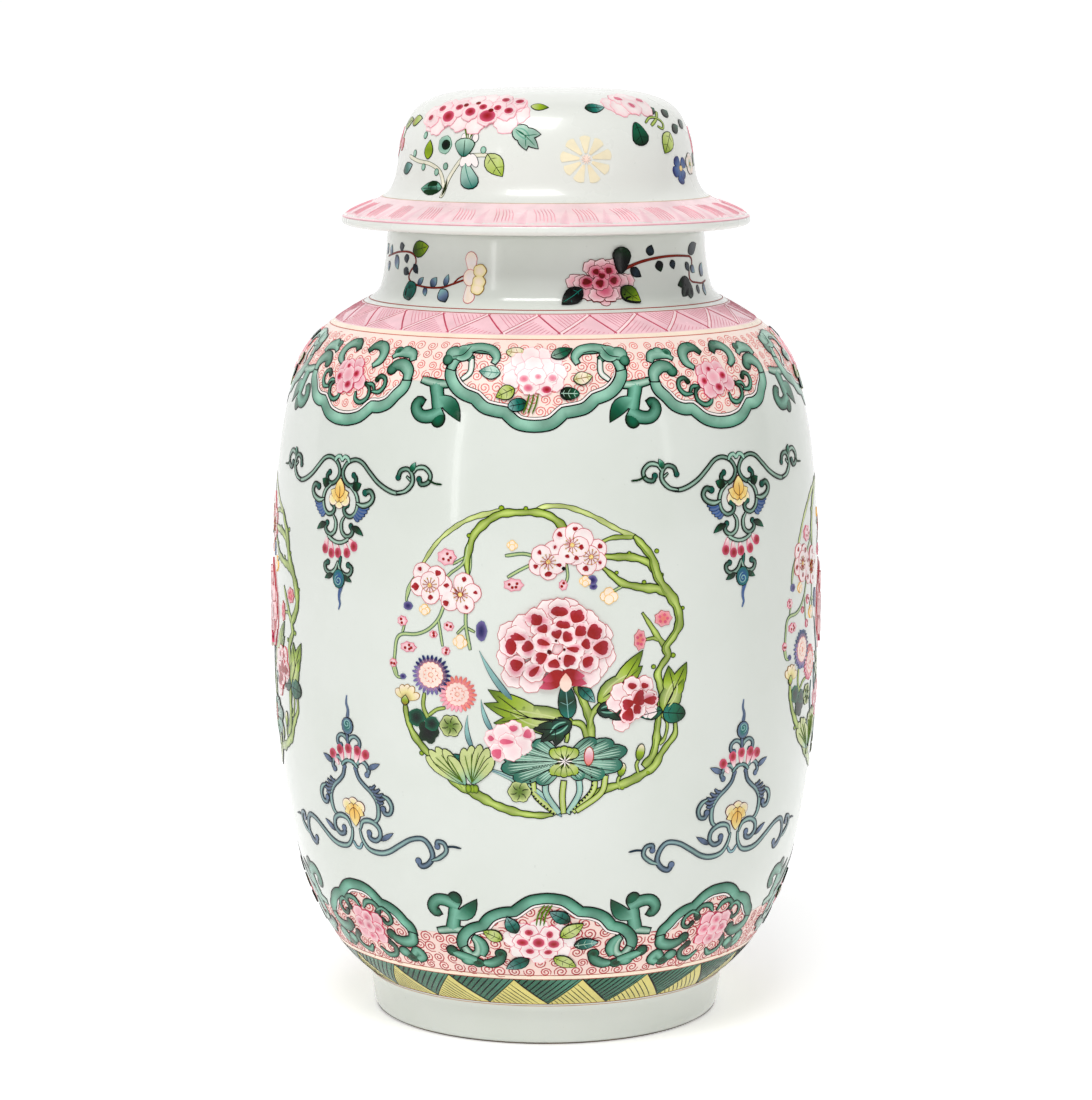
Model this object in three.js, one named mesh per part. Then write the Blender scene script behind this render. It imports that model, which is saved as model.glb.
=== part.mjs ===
// A lidded ginger jar in glazed porcelain: a tall jar with a foot ring and a short neck,
// and a domed lid whose wide flange sits on the neck's rim. Millimetres, +Z up, foot ring on Z = 0.
import * as THREE from 'three';

// Driving dimensions
const foot = { ringRadius: 80.6, ringInner: 74, height: 20.2, recessDepth: 8 };
const belly = { radius: 129, floorHeight: 15 };
const neck = { rimHeight: 373.2, outerRadius: 74.4, innerRadius: 69.6 };
const seatGap = 0.3;
const lid = { flangeRadius: 95.9, domeRadius: 73, topHeight: 438.2 };
const collar = { radius: 67.2, innerRadius: 62.4, bottomHeight: 357.8 };
const segmentsRound = 64;

const glazedWhite = { color: 0xe4e8e1, roughness: 0.12, metalness: 0 };

// A closed ring of [radius, height] corners turned about the Z axis.
function turned(name, profile, finish) {
  const corners = profile.map(([radius, height]) => new THREE.Vector2(radius, height));
  const geometry = new THREE.LatheGeometry(corners, segmentsRound);
  geometry.rotateX(Math.PI / 2);
  const mesh = new THREE.Mesh(geometry, new THREE.MeshStandardMaterial(finish));
  mesh.name = name;
  return mesh;
}

// Foot ring, flared waist, tall belly, round shoulder and upright neck, from the foot upwards
const jarOutside = [
  [foot.ringRadius - 0.6, 0], [foot.ringRadius + 0.9, 0.9], [82.4, 3], [83.2, 8], [84, 13], [84.7, 18],
  [85.6, foot.height], [87.7, 22.1], [91, 25], [94.2, 28.2], [97.8, 32.2], [100.9, 36.3], [103.5, 40.5],
  [106.3, 45.4], [109, 50.6], [111.7, 56.4], [114, 62.6], [116.5, 70], [118.9, 79], [121, 89], [122.9, 99.5],
  [124.6, 110.5], [126.1, 122.5], [127.5, 136.5], [128.4, 151.5], [128.9, 167.5], [belly.radius, 184],
  [belly.radius, 201], [128.9, 217], [128.5, 232], [127.8, 247], [126.7, 261], [125.2, 274], [123.3, 285.5],
  [121, 295.5], [118.3, 304.5], [115.2, 312.2], [111.4, 318.6], [107.2, 323.6], [102.4, 328], [97.4, 331.8],
  [92.4, 335], [87.8, 337.7], [83.8, 339.9], [80.6, 342], [78.4, 344.6], [77.1, 348.2], [76.2, 353],
  [75.4, 358.5], [74.8, 364.5], [neck.outerRadius, 370.6], [74, neck.rimHeight - 0.7], [73.2, neck.rimHeight],
];

// Rim, neck bore, shoulder, belly and floor, from the rim downwards
const jarInside = [
  [70.7, neck.rimHeight], [69.9, neck.rimHeight - 0.6], [neck.innerRadius, 371], [69.8, 355],
  [71, 346.4], [73.7, 341.6], [79.5, 337], [87, 332], [95.2, 325.6], [102.6, 317.6], [108.8, 306.6],
  [113.9, 292.6], [117.9, 275], [121.2, 249], [122.9, 215], [122.9, 175], [121, 135], [117.5, 107],
  [112.3, 82], [106.4, 62.4], [98.6, 45.6], [90, 33], [79.6, 22.6], [71.4, 18], [60, 15.8],
  [44, belly.floorHeight],
];

// Underside of the floor and the inner wall of the foot ring
const jarUnderside = [
  [62, foot.recessDepth], [68.4, 7.4], [71.6, 5.4], [foot.ringInner - 1, 2], [foot.ringInner + 0.2, 0],
];

// From the axis under the floor, out and up the outside, and down the inside back to the axis
const jarProfile = [
  [0, foot.recessDepth],
  ...jarUnderside,
  ...jarOutside,
  ...jarInside,
  [0, belly.floorHeight],
];

// Low dome with a round shoulder, then the sloping flange with its thick rounded edge
const lidOutside = [
  [0, lid.topHeight], [14, 438.1], [26, 437.7], [36, 437], [44, 435.9], [50.4, 434.3], [55.6, 432.2],
  [59.6, 429.5], [62.6, 426.2], [64.9, 422.2], [66.7, 417.4], [68, 412], [69, 406], [69.9, 400.4],
  [71.1, 395.4], [lid.domeRadius, 391.4], [75.6, 388.6], [79, 386.6], [83.4, 384.9], [87.8, 383.2],
  [91.4, 381.5], [94, 379.9], [95.4, 378.5], [lid.flangeRadius, 377.1], [95.7, 375.9], [94.9, 375],
  [93.6, 374.5],
];

// Flange underside, seat on the rim, and the collar that drops into the neck
const lidSeat = [
  [88, 374.1], [79, neck.rimHeight + seatGap + 0.1], [75, neck.rimHeight + seatGap],
  [69.4, neck.rimHeight + seatGap], [68, 373], [collar.radius + 0.3, 371.8], [collar.radius, 369],
  [collar.radius - 0.2, 360], [66.5, 358.4], [65.4, collar.bottomHeight], [63.6, collar.bottomHeight],
  [62.7, 358.4], [collar.innerRadius, 360],
];

// Hollow of the dome, from the collar upwards
const lidInside = [
  [collar.innerRadius, 380], [62.9, 390], [63.1, 399], [62.6, 407], [61.4, 414], [59.2, 420], [55.8, 424.9],
  [51, 428.5], [44, 431], [34, 432.3], [20, 432.9], [0, 433],
];

const jar = new THREE.Group();
jar.name = 'ginger_jar';
jar.add(turned('jar_body', jarProfile, glazedWhite));
jar.add(turned('lid', [...lidOutside, ...lidSeat, ...lidInside].reverse(), glazedWhite));

export default jar;
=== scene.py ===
"""The ginger jar's looks: smooth glazed porcelain, painted all over in raised overglaze enamels."""

import math
import random

import bpy
import numpy as np
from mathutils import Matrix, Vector


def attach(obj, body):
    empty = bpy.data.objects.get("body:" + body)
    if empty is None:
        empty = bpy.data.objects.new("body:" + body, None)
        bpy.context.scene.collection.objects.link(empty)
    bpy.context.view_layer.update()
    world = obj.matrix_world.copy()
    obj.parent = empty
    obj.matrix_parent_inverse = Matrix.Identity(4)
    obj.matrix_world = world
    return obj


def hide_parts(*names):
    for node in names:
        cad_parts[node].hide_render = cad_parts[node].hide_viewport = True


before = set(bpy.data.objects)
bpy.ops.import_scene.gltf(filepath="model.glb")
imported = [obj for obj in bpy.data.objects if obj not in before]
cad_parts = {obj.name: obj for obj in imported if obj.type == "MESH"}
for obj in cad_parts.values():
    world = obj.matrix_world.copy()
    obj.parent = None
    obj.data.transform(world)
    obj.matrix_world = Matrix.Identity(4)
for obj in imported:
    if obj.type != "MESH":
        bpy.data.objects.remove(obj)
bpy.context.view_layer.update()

MM = 0.001
JAR, LID = "jar", "lid"
ROOT = -0.05  # how far painted shapes reach into the glaze, mm
THIN, LEVEL, STAGGER = 0.10, 0.12, 0.007  # lift of the lowest coat, of each level and between shapes, mm
FILL, DOME = 0.045, 0.02  # how far a fill stands over its dark outline, and how far its edges fall, mm
BROKEN = math.radians(38)  # surfaces that meet at more than this keep a sharp edge
PATTERN_TURN = math.radians(2.0)  # from the frame's -Y axis round to the painting's middle line
ROUND = 240  # segments of the turned surfaces
SHOULDER_AT, SKIRT_AT, SKIRT_KNOT_AT = 315, 62, 79.5  # where each register lies, in mm up the jar's side
PANEL_AT, HANGING_AT, RISING_AT, NECK_AT = 230, 245, 112, 385
DOME_AT = 62  # the same for the lid's sprays, from the edge of its flange
EVERY_QUARTER = (0, 90, 180, 270)
EVERY_EIGHTH = (45, 135, 225, 315)
rng = random.Random(41)


# ---------------------------------------------------------------- colours


def linear(r, g, b, shine=0.0):
    """A colour in everyday 0-255 steps, as the shader wants it, less what its shine adds in white light."""
    return tuple(
        max(0.0015, (c / 12.92 if c <= 0.04045 else ((c + 0.055) / 1.055) ** 2.4) - shine)
        for c in (r / 255, g / 255, b / 255)
    )


def painted(r, g, b):
    return linear(r, g, b, 0.03)


INK = {
    "black_green": painted(10, 36, 30),
    "olive": painted(56, 62, 22),
    "dark_green": painted(8, 66, 52),
    "green": painted(32, 106, 82),
    "pale_green": painted(124, 180, 158),
    "mint": painted(176, 208, 190),
    "teal": painted(40, 116, 104),
    "pale_teal": painted(140, 182, 178),
    "lime": painted(156, 182, 58),
    "pale_lime": painted(202, 212, 146),
    "deep_lime": painted(92, 120, 20),
    "crimson": painted(156, 2, 48),
    "deep_red": painted(112, 6, 24),
    "rose": painted(214, 96, 124),
    "pink": painted(236, 168, 180),
    "pale_pink": painted(246, 216, 218),
    "petal_white": painted(248, 238, 235),
    "petal_line": painted(196, 96, 104),
    "blush": painted(249, 226, 226),
    "daisy": painted(242, 231, 200),
    "salmon": painted(226, 128, 112),
    "iron_red": painted(166, 76, 62),
    "brown": painted(92, 40, 26),
    "peach": painted(244, 216, 202),
    "cream": painted(250, 232, 212),
    "yellow": painted(206, 196, 104),
    "pale_yellow": painted(240, 226, 160),
    "amber": painted(238, 186, 92),
    "ochre": painted(150, 112, 36),
    "navy": painted(26, 24, 96),
    "blue": painted(62, 92, 148),
    "slate": painted(104, 120, 148),
    "violet": painted(120, 108, 160),
    "grey_line": painted(58, 66, 74),
    "band_pink": painted(243, 200, 208),
    "band_rose": painted(196, 84, 112),
    "band_pale": painted(249, 222, 224),
}


def tone(spec):
    """An ink by name: "a/b" is half of each, "a/b/0.3" is 0.3 of the way to b. A colour stays itself."""
    if not isinstance(spec, str):
        return spec
    first, *rest = spec.split("/")
    if not rest:
        return np.array(INK[first])
    t = float(rest[1]) if rest[1:] else 0.5
    return np.array(INK[first]) * (1 - t) + np.array(INK[rest[0]]) * t


def tones(specs):
    """Several inks, from their names in one string with spaces between them, or from a list."""
    return tuple(tone(spec) for spec in (specs.split() if isinstance(specs, str) else specs))


# ---------------------------------------------------------------- turned surfaces


def profile_of(node):
    """The closed outline of a turned CAD node, in mm as (radius, height), in order from the axis."""
    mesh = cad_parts[node].data
    place, links = {}, {}
    for v in mesh.vertices:
        x, y, z = v.co
        if abs(x) < 1e-6 and y < 1e-7:
            place[v.index] = (round(-y / MM, 3) + 0.0, round(z / MM, 3))
    for e in mesh.edges:
        a, b = (place.get(i) for i in e.vertices)
        if a is not None and b is not None and a != b and not (a[0] == 0 and b[0] == 0):
            links.setdefault(a, set()).add(b)
            links.setdefault(b, set()).add(a)
    order = [min((k for k in links if k[0] == 0), key=lambda k: k[1])]
    while True:
        step = [k for k in links[order[-1]] if k not in order]
        if not step:
            return order
        order.append(step[0])


def smoothed(points, spacing):
    """A curve through the points, sharp only where they turn sharply, and how far along it each row lies."""
    p = np.array(points, float)
    gaps = np.hypot(*np.diff(p, axis=0).T)
    s = np.concatenate([[0], np.cumsum(gaps)])
    slopes = np.diff(p, axis=0) / gaps[:, None]
    into = np.vstack([slopes[:1], slopes])
    out = np.vstack([slopes, slopes[-1:]])
    soft = ((into * out).sum(1) > 0.82)[:, None]
    before = np.concatenate([[gaps[0]], gaps])[:, None]
    after = np.concatenate([gaps, [gaps[-1]]])[:, None]
    shared = (into * after + out * before) / (before + after)
    leave, arrive = np.where(soft, shared, out), np.where(soft, shared, into)
    rows, marks = [], []
    for i, gap in enumerate(gaps):
        n = max(1, int(math.ceil(gap / spacing)))
        t = (np.arange(n) / n)[:, None]
        rows.append(
            (2 * t**3 - 3 * t**2 + 1) * p[i]
            + (t**3 - 2 * t**2 + t) * gap * leave[i]
            + (3 * t**2 - 2 * t**3) * p[i + 1]
            + (t**3 - t**2) * gap * arrive[i + 1]
        )
        marks.append(s[i] + t[:, 0] * gap)
    return np.vstack([*rows, p[-1:]]), np.concatenate([*marks, s[-1:]])


class Side:
    """The outside of a turned form, measured by the distance up it from its lowest edge."""

    def __init__(self, points):
        rows, self.s = smoothed(points, 0.5)
        self.r, self.z = rows.T
        dr, dz = np.gradient(self.r, self.s), np.gradient(self.z, self.s)
        length = np.hypot(dr, dz)
        self.nr, self.nz = dz / length, -dr / length

    def radius(self, s):
        return float(np.interp(s, self.s, self.r))

    def point(self, angle, s, lift):
        r, z, nr, nz = (np.interp(s, self.s, v) for v in (self.r, self.z, self.nr, self.nz))
        r = r + lift * nr
        return np.stack([r * np.sin(angle), -r * np.cos(angle), z + lift * nz], -1) * MM


def run_between(outline, first, last):
    """The part of an outline from one of its points to another."""
    a, b = outline.index(first), outline.index(last)
    return outline[a : b + 1] if a < b else outline[b : a + 1][::-1]


jar_outline = profile_of("jar_body")
lid_outline = profile_of("lid")
jar_height = max(p[1] for p in jar_outline)
foot_corner = max((p for p in jar_outline if p[1] == 0), key=lambda p: p[0])
rim_corner = max((p for p in jar_outline if p[1] == jar_height), key=lambda p: p[0])
crown = max(lid_outline, key=lambda p: p[1])
flange_reach = max(p[0] for p in lid_outline)
flange_edge = min((p for p in lid_outline if p[0] > flange_reach - 3), key=lambda p: p[1])
jar_side = Side(run_between(jar_outline, foot_corner, rim_corner))
lid_side = Side(run_between(lid_outline, flange_edge, crown))


class Spot:
    """A place on a side to paint from: x runs round to the right and y up, both in mm."""

    def __init__(self, side, degrees, s, mirror=1, shift=0.0, rise=0.0):
        self.side, self.s, self.mirror, self.shift, self.rise = side, s, mirror, shift, rise
        self.angle = math.radians(degrees) + PATTERN_TURN
        self.reach = side.radius(s)

    def put(self, x, y, lift):
        angle = self.angle + (np.asarray(x, float) * self.mirror + self.shift) / self.reach
        return self.side.point(angle, self.s + np.asarray(y, float) + self.rise, lift)

    def mirrored(self, about):
        """The same place with x running the other way, from the line x = about."""
        return Spot(self.side, math.degrees(self.angle - PATTERN_TURN), self.s, -self.mirror,
                    self.shift + 2 * about * self.mirror, self.rise)


# ---------------------------------------------------------------- coats of enamel


class Coat:
    """Enamel of one kind: raised shapes gathered into one mesh."""

    everything = []

    def __init__(self, name, body, finish):
        self.name, self.body, self.finish = name, body, finish
        self.points, self.faces, self.tints, self.count = [], [], [], 0
        Coat.everything.append(self)

    def add(self, points, faces, tints):
        base = self.count
        self.points.append(points)
        self.tints.append(np.reshape(tints, (-1, 3)))
        self.count += len(points)
        self.faces.extend([tuple(base + i for i in f) for f in faces])

    def build(self):
        if not self.faces:
            return
        mesh = bpy.data.meshes.new(self.name)
        mesh.from_pydata(np.vstack(self.points).tolist(), [], self.faces)
        layer = mesh.color_attributes.new("tint", "FLOAT_COLOR", "POINT")
        tints = np.vstack(self.tints)
        layer.data.foreach_set("color", np.hstack([tints, np.ones((len(tints), 1))]).ravel())
        mesh.shade_smooth()
        mesh.set_sharp_from_angle(angle=BROKEN)
        mesh.materials.append(self.finish)
        piece = bpy.data.objects.new(self.name, mesh)
        bpy.context.scene.collection.objects.link(piece)
        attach(piece, self.body)


def signed_area(x, y):
    return 0.5 * np.sum(x * np.roll(y, -1) - np.roll(x, -1) * y)


def raise_patch(coat, spot, x, y, lift, tints, faces, rim):
    """Adds an open patch with the skirt and the back that make it a solid. Its rim is listed in order."""
    x, y, lift = np.ravel(x), np.ravel(y), np.ravel(lift)
    tints = np.reshape(tints, (-1, 3))
    if signed_area(x[rim], y[rim]) * spot.mirror < 0:
        rim = rim[::-1]
    wound = sum(signed_area(x[list(f)], y[list(f)]) for f in faces) * spot.mirror
    if wound < 0:
        faces = [f[::-1] for f in faces]
    base, k = len(x), len(rim)
    skirt = [(rim[i], base + i, base + (i + 1) % k, rim[(i + 1) % k]) for i in range(k)]
    back = [tuple(range(base, base + k))[::-1]]
    points = spot.put(np.append(x, x[rim]), np.append(y, y[rim]), np.append(lift, np.full(k, ROOT)))
    coat.add(points, faces + skirt + back, np.vstack([tints, tints[rim]]))


GRIDS = {}


def grid_faces(n, m):
    """The quads of an n by m grid and its rim, kept once made."""
    if (n, m) not in GRIDS:
        faces = [
            (i * m + j, (i + 1) * m + j, (i + 1) * m + j + 1, i * m + j + 1)
            for i in range(n - 1)
            for j in range(m - 1)
        ]
        rim = list(range(m)) + [i * m + m - 1 for i in range(1, n)]
        rim += [(n - 1) * m + j for j in range(m - 2, -1, -1)] + [i * m for i in range(n - 2, 0, -1)]
        GRIDS[n, m] = faces, np.array(rim)
    return GRIDS[n, m]


# ---------------------------------------------------------------- paths


def curve(points, spacing=1.2):
    """A smooth path through a few given points."""
    p = np.array(points, float)
    p = np.vstack([2 * p[0] - p[1], p, 2 * p[-1] - p[-2]])
    out = []
    for a, b, c, d in zip(p, p[1:], p[2:], p[3:]):
        n = max(2, int(math.ceil(np.hypot(*(c - b)) / spacing)))
        t = (np.arange(n) / n)[:, None]
        out.append(
            0.5 * (2 * b + (c - a) * t + (2 * a - 5 * b + 4 * c - d) * t**2 + (3 * b - a - 3 * c + d) * t**3)
        )
    return np.vstack([*out, p[-2:-1]])


def leftward(path):
    """The unit direction to the left of a path at each of its points."""
    d = np.gradient(path, axis=0)
    d /= np.maximum(np.hypot(d[:, 0], d[:, 1]), 1e-9)[:, None]
    return np.stack([-d[:, 1], d[:, 0]], 1)


def coil(centre, radius, turns, start, hand=1, steps=None):
    """A spiral from its rim in to its middle."""
    n = steps or int(12 * turns) + 2
    t = np.linspace(0, 1, n)
    a = math.radians(start) + hand * 2 * math.pi * turns * t
    r = radius * (1 - 0.86 * t)
    return np.stack([centre[0] + r * np.cos(a), centre[1] + r * np.sin(a)], 1)


# ---------------------------------------------------------------- brush marks


def ridge(coat, spot, path, width, top, tint, ends=(0.35, 0.35)):
    """A raised brush line of even height, thinner at its ends."""
    path = np.asarray(path, float)
    n = len(path)
    t = np.linspace(0, 1, n)
    half = width / 2 * np.minimum(1, np.minimum(ends[0] + 5 * t, ends[1] + 5 * (1 - t)))
    out = leftward(path) * half[:, None]
    xy = np.stack([path + out, path + out * 0.85, path - out * 0.85, path - out], 1)
    lift = np.tile([ROOT, top, top, ROOT], n)
    faces = [(a + j, a + (j + 1) % 4, a + 4 + (j + 1) % 4,
              a + 4 + j) for a in range(0, 4 * n - 4, 4) for j in range(4)]
    e = 4 * (n - 1)
    faces += [(3, 2, 1, 0), (e, e + 1, e + 2, e + 3)]
    if spot.mirror > 0:
        faces = [f[::-1] for f in faces]
    points = spot.put(xy[..., 0].ravel(), xy[..., 1].ravel(), lift)
    coat.add(points, faces, np.tile(tone(tint), (4 * n, 1)))


def stroke(coat, spot, path, width, top, tints, taper=(0.4, 0.4), grow=0.0, cols=4, dome=DOME, mottle=0.0,
           lean=0.0):
    """A ribbon of enamel along a path. tints is (edge, middle), or (start edge, start middle, end edge,
    end middle)."""
    path, tints = np.asarray(path, float), tones(tints)
    n = len(path)
    t = np.linspace(0, 1, n)
    w = np.interp(t, np.linspace(0, 1, len(width)), width) if np.ndim(width) else np.full(n, float(width))
    length = np.hypot(*np.diff(path, axis=0).T).sum()
    fade = max(w.max() * 0.8, 0.5) / length
    shape = np.minimum(1, taper[0] + (1 - taper[0]) * t / fade)
    shape = np.minimum(shape, taper[1] + (1 - taper[1]) * (1 - t) / fade)
    half = w / 2 * np.sqrt(np.clip(shape, 0.02, 1)) + grow
    if grow:
        d = np.gradient(path, axis=0)
        d /= np.maximum(np.hypot(d[:, 0], d[:, 1]), 1e-9)[:, None]
        path = path.copy()
        path[0] -= d[0] * grow
        path[-1] += d[-1] * grow
    side = leftward(path)
    v = np.linspace(-1, 1, cols + 1)
    xy = path[:, None] + side[:, None] * (half[:, None] * v)[..., None]
    lift = (top - dome * v**2) * np.ones((n, 1))
    if len(tints) == 2:
        edge, mid = (np.tile(c, (n, 1)) for c in tints)
    else:
        late = (t**2)[:, None]
        edge, mid = tints[0] * (1 - late) + tints[2] * late, tints[1] * (1 - late) + tints[3] * late
    if mottle:
        mid = mid * (1 + mottle * np.sin(np.arange(n) / 2.7 + rng.uniform(0, 6)))[:, None]
    k = (np.abs(v) ** 1.5 * (1 - abs(lean)) + np.clip(0.5 + 0.5 * v * np.sign(lean), 0,
            1) ** 1.3 * abs(lean))[None, :, None]
    faces, rim = grid_faces(n, cols + 1)
    raise_patch(coat, spot, xy[..., 0], xy[..., 1], lift, mid[:, None] * (1 - k) + edge[:, None] * k, faces,
                rim)


FORMS = {  # half width along a shape of length 1
    "leaf": lambda u: np.sin(math.pi * u**0.8) ** 0.85,
    "blade": lambda u: np.sin(math.pi * u**0.6) ** 0.9,
    "petal": lambda u: np.sqrt(np.clip(np.minimum(u / 0.72, 1)
        * (1 - np.clip((u - 0.55) / 0.45, 0, 1) ** 2.4), 0, 1)),
    "round": lambda u: np.sqrt(np.clip(1 - (2 * u - 1) ** 2, 0, 1)),
    "wedge": lambda u: np.minimum(0.2 + 0.85 * u, np.sqrt(np.clip((1.0 - u) / 0.1, 0, 1))),
    "heart": lambda u: np.sqrt(np.clip(1 - (2 * u - 1) ** 2, 0, 1)) * (0.75 + 0.35 * (1 - u)),
}


def lobe(coat, spot, base, tip, width, top, tints, form="leaf", bend=0.0, grow=0.0, rows=8, cols=4,
         dome=DOME):
    """One leaf or petal from base to tip. tints is (at the base, at the middle, at the tip), and may have a
    fourth for its edges."""
    base, tip, tints = np.array(base, float), np.array(tip, float), tones(tints)
    d = tip - base
    length = np.hypot(*d)
    d /= length
    n = np.array([-d[1], d[0]])
    u = 0.5 - 0.5 * np.cos(np.linspace(0, math.pi, rows))
    along = -grow + u * (length + 2 * grow)
    half = np.maximum(FORMS[form](u) * (width / 2 + grow), 0.1)
    middle = base + d * along[:, None] + n * (bend * 4 * u * (1 - u))[:, None]
    v = np.linspace(-1, 1, cols + 1)
    xy = middle[:, None] + n * (half[:, None] * v)[..., None]
    lift = (top - dome * v**2) * np.ones((rows, 1))
    a, b, c = tints[:3]
    t = u[:, None, None]
    shade = np.where(t < 0.5, a * (1 - 2 * t) + b * 2 * t,
                     b * (2 - 2 * t) + c * (2 * t - 1)) * np.ones((1, cols + 1, 1))
    if len(tints) > 3:
        k = (np.abs(v) ** 2)[None, :, None] * 0.8
        shade = shade * (1 - k) + tints[3] * k
    faces, rim = grid_faces(rows, cols + 1)
    raise_patch(coat, spot, xy[..., 0], xy[..., 1], lift, shade, faces, rim)
    return middle, n, half


def disc(coat, spot, centre, radii, top, tints, turn=0.0, frill=0.0, waves=5, grow=0.0, steps=16, phase=0.0,
         dome=DOME):
    """A round or scalloped spot, coloured from its middle to its rim."""
    rings = np.array([0.0, 0.45, 0.8, 1.0])
    a = np.linspace(0, 2 * math.pi, steps, endpoint=False)
    rx, ry = (radii if np.ndim(radii) else (radii, radii))
    edge = 1 + frill * (np.abs(np.cos(waves * (a + phase) / 2)) - 0.5) * 2
    cx, sx = math.cos(math.radians(turn)), math.sin(math.radians(turn))
    px, py = (rx + grow) * edge * np.cos(a), (ry + grow) * edge * np.sin(a)
    px, py = px * cx - py * sx, px * sx + py * cx
    x = np.concatenate([[0]] + [px * r for r in rings[1:]]) + centre[0]
    y = np.concatenate([[0]] + [py * r for r in rings[1:]]) + centre[1]
    r = np.concatenate([[0]] + [np.full(steps, k) for k in rings[1:]])
    lift = top - dome * r**2
    inner, outer = tones(tints)
    shade = inner * (1 - r[:, None] ** 2) + outer * r[:, None] ** 2
    faces = [(0, 1 + i, 1 + (i + 1) % steps) for i in range(steps)]
    for k in range(2):
        o = 1 + k * steps
        faces += [(o + i, o + steps + i, o + steps + (i + 1) % steps,
                   o + (i + 1) % steps) for i in range(steps)]
    raise_patch(coat, spot, x, y, lift, shade, faces, np.arange(1 + 2 * steps, 1 + 3 * steps))


def hoop(coat, side, s_low, s_high, lift, tint, columns=ROUND, rows=2):
    """A band of enamel all the way round, between two heights. Either may be a function of the angle."""
    a = np.linspace(0, 2 * math.pi, columns, endpoint=False)
    low = s_low(a) if callable(s_low) else np.full(columns, float(s_low))
    high = s_high(a) if callable(s_high) else np.full(columns, float(s_high))
    t = np.linspace(0, 1, rows)
    s = low[:, None] * (1 - t) + high[:, None] * t
    s = np.concatenate([s, high[:, None], low[:, None]], 1)
    lifts = np.tile(np.append(np.full(rows, lift), [ROOT, ROOT]), (columns, 1))
    m = rows + 2
    points = side.point(a[:, None] + PATTERN_TURN, s, lifts).reshape(-1, 3)
    faces = [
        (i * m + j, (i + 1) % columns * m + j, (i + 1) % columns * m + (j + 1) % m, i * m + (j + 1) % m)
        for i in range(columns)
        for j in range(m)
    ]
    coat.add(points, faces, np.tile(tone(tint), (len(points), 1)))


# ---------------------------------------------------------------- finishes


def node_of(tree, kind, **sockets):
    """A shader node with some of its inputs set."""
    node = tree.nodes.new(kind)
    for name, value in sockets.items():
        node.inputs[name.replace("_", " ")].default_value = value
    return node


def noise(tree, scale, detail=4.0, rough=0.55):
    place = tree.nodes.new("ShaderNodeTexCoord")
    made = node_of(tree, "ShaderNodeTexNoise", Scale=scale, Detail=detail, Roughness=rough)
    tree.links.new(place.outputs["Object"], made.inputs["Vector"])
    return made.outputs["Fac"]


def ranged(tree, value, low, high, start=0.3, end=0.7):
    """A noise value spread over a chosen range."""
    made = node_of(tree, "ShaderNodeMapRange", From_Min=start, From_Max=end, To_Min=low, To_Max=high)
    tree.links.new(value, made.inputs["Value"])
    return made.outputs["Result"]


def bump_of(tree, height, distance, strength):
    made = node_of(tree, "ShaderNodeBump", Distance=distance, Strength=strength)
    tree.links.new(height, made.inputs["Height"])
    return made.outputs["Normal"]


def new_finish(name):
    made = bpy.data.materials.new(name)
    made.use_nodes = True
    return made, made.node_tree, made.node_tree.nodes["Principled BSDF"]


def enamel(name, dark, light, gloss, grain, ripple, bend=1.36):
    """Overglaze enamel: its own tint, pooled darker and lighter, over a slightly rippled surface."""
    made, tree, shader = new_finish(name)
    tint = tree.nodes.new("ShaderNodeAttribute")
    tint.attribute_name = "tint"
    pool = ranged(tree, noise(tree, grain), dark, light)
    mix = tree.nodes.new("ShaderNodeMix")
    mix.data_type = "RGBA"
    mix.blend_type = "MULTIPLY"
    mix.inputs["Factor"].default_value = 1.0
    tree.links.new(tint.outputs["Color"], mix.inputs["A"])
    tree.links.new(pool, mix.inputs["B"])
    tree.links.new(mix.outputs["Result"], shader.inputs["Base Color"])
    tree.links.new(ranged(tree, noise(tree, grain * 0.6), *gloss), shader.inputs["Roughness"])
    tree.links.new(bump_of(tree, noise(tree, grain * 1.7), ripple * MM, 0.5), shader.inputs["Normal"])
    shader.inputs["IOR"].default_value = bend
    return made


def glazed_porcelain(name, low=(212, 217, 209), high=(219, 223, 217), rough=(0.14, 0.22)):
    """White porcelain under a faintly green clear glaze, with its soft ripple, pinholes and faint clouds."""
    made, tree, shader = new_finish(name)
    clouds = ranged(tree, noise(tree, 14.0, 5.0), 0.0, 1.0)
    ramp = tree.nodes.new("ShaderNodeMix")
    ramp.data_type = "RGBA"
    ramp.inputs["A"].default_value = (*linear(*low), 1)
    ramp.inputs["B"].default_value = (*linear(*high), 1)
    tree.links.new(clouds, ramp.inputs["Factor"])
    specks = ranged(tree, noise(tree, 520.0, 2.0, 0.4), 1.0, 0.93, 0.74, 0.80)
    speckled = tree.nodes.new("ShaderNodeMix")
    speckled.data_type = "RGBA"
    speckled.blend_type = "MULTIPLY"
    speckled.inputs["Factor"].default_value = 1.0
    tree.links.new(ramp.outputs["Result"], speckled.inputs["A"])
    tree.links.new(specks, speckled.inputs["B"])
    tree.links.new(speckled.outputs["Result"], shader.inputs["Base Color"])
    tree.links.new(ranged(tree, noise(tree, 30.0), *rough), shader.inputs["Roughness"])
    tree.links.new(bump_of(tree, noise(tree, 42.0, 2.0), 0.35 * MM, 0.35), shader.inputs["Normal"])
    shader.inputs["IOR"].default_value = 1.48
    shader.inputs["Coat Weight"].default_value = 0.35
    shader.inputs["Coat Roughness"].default_value = 0.05
    return made


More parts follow.
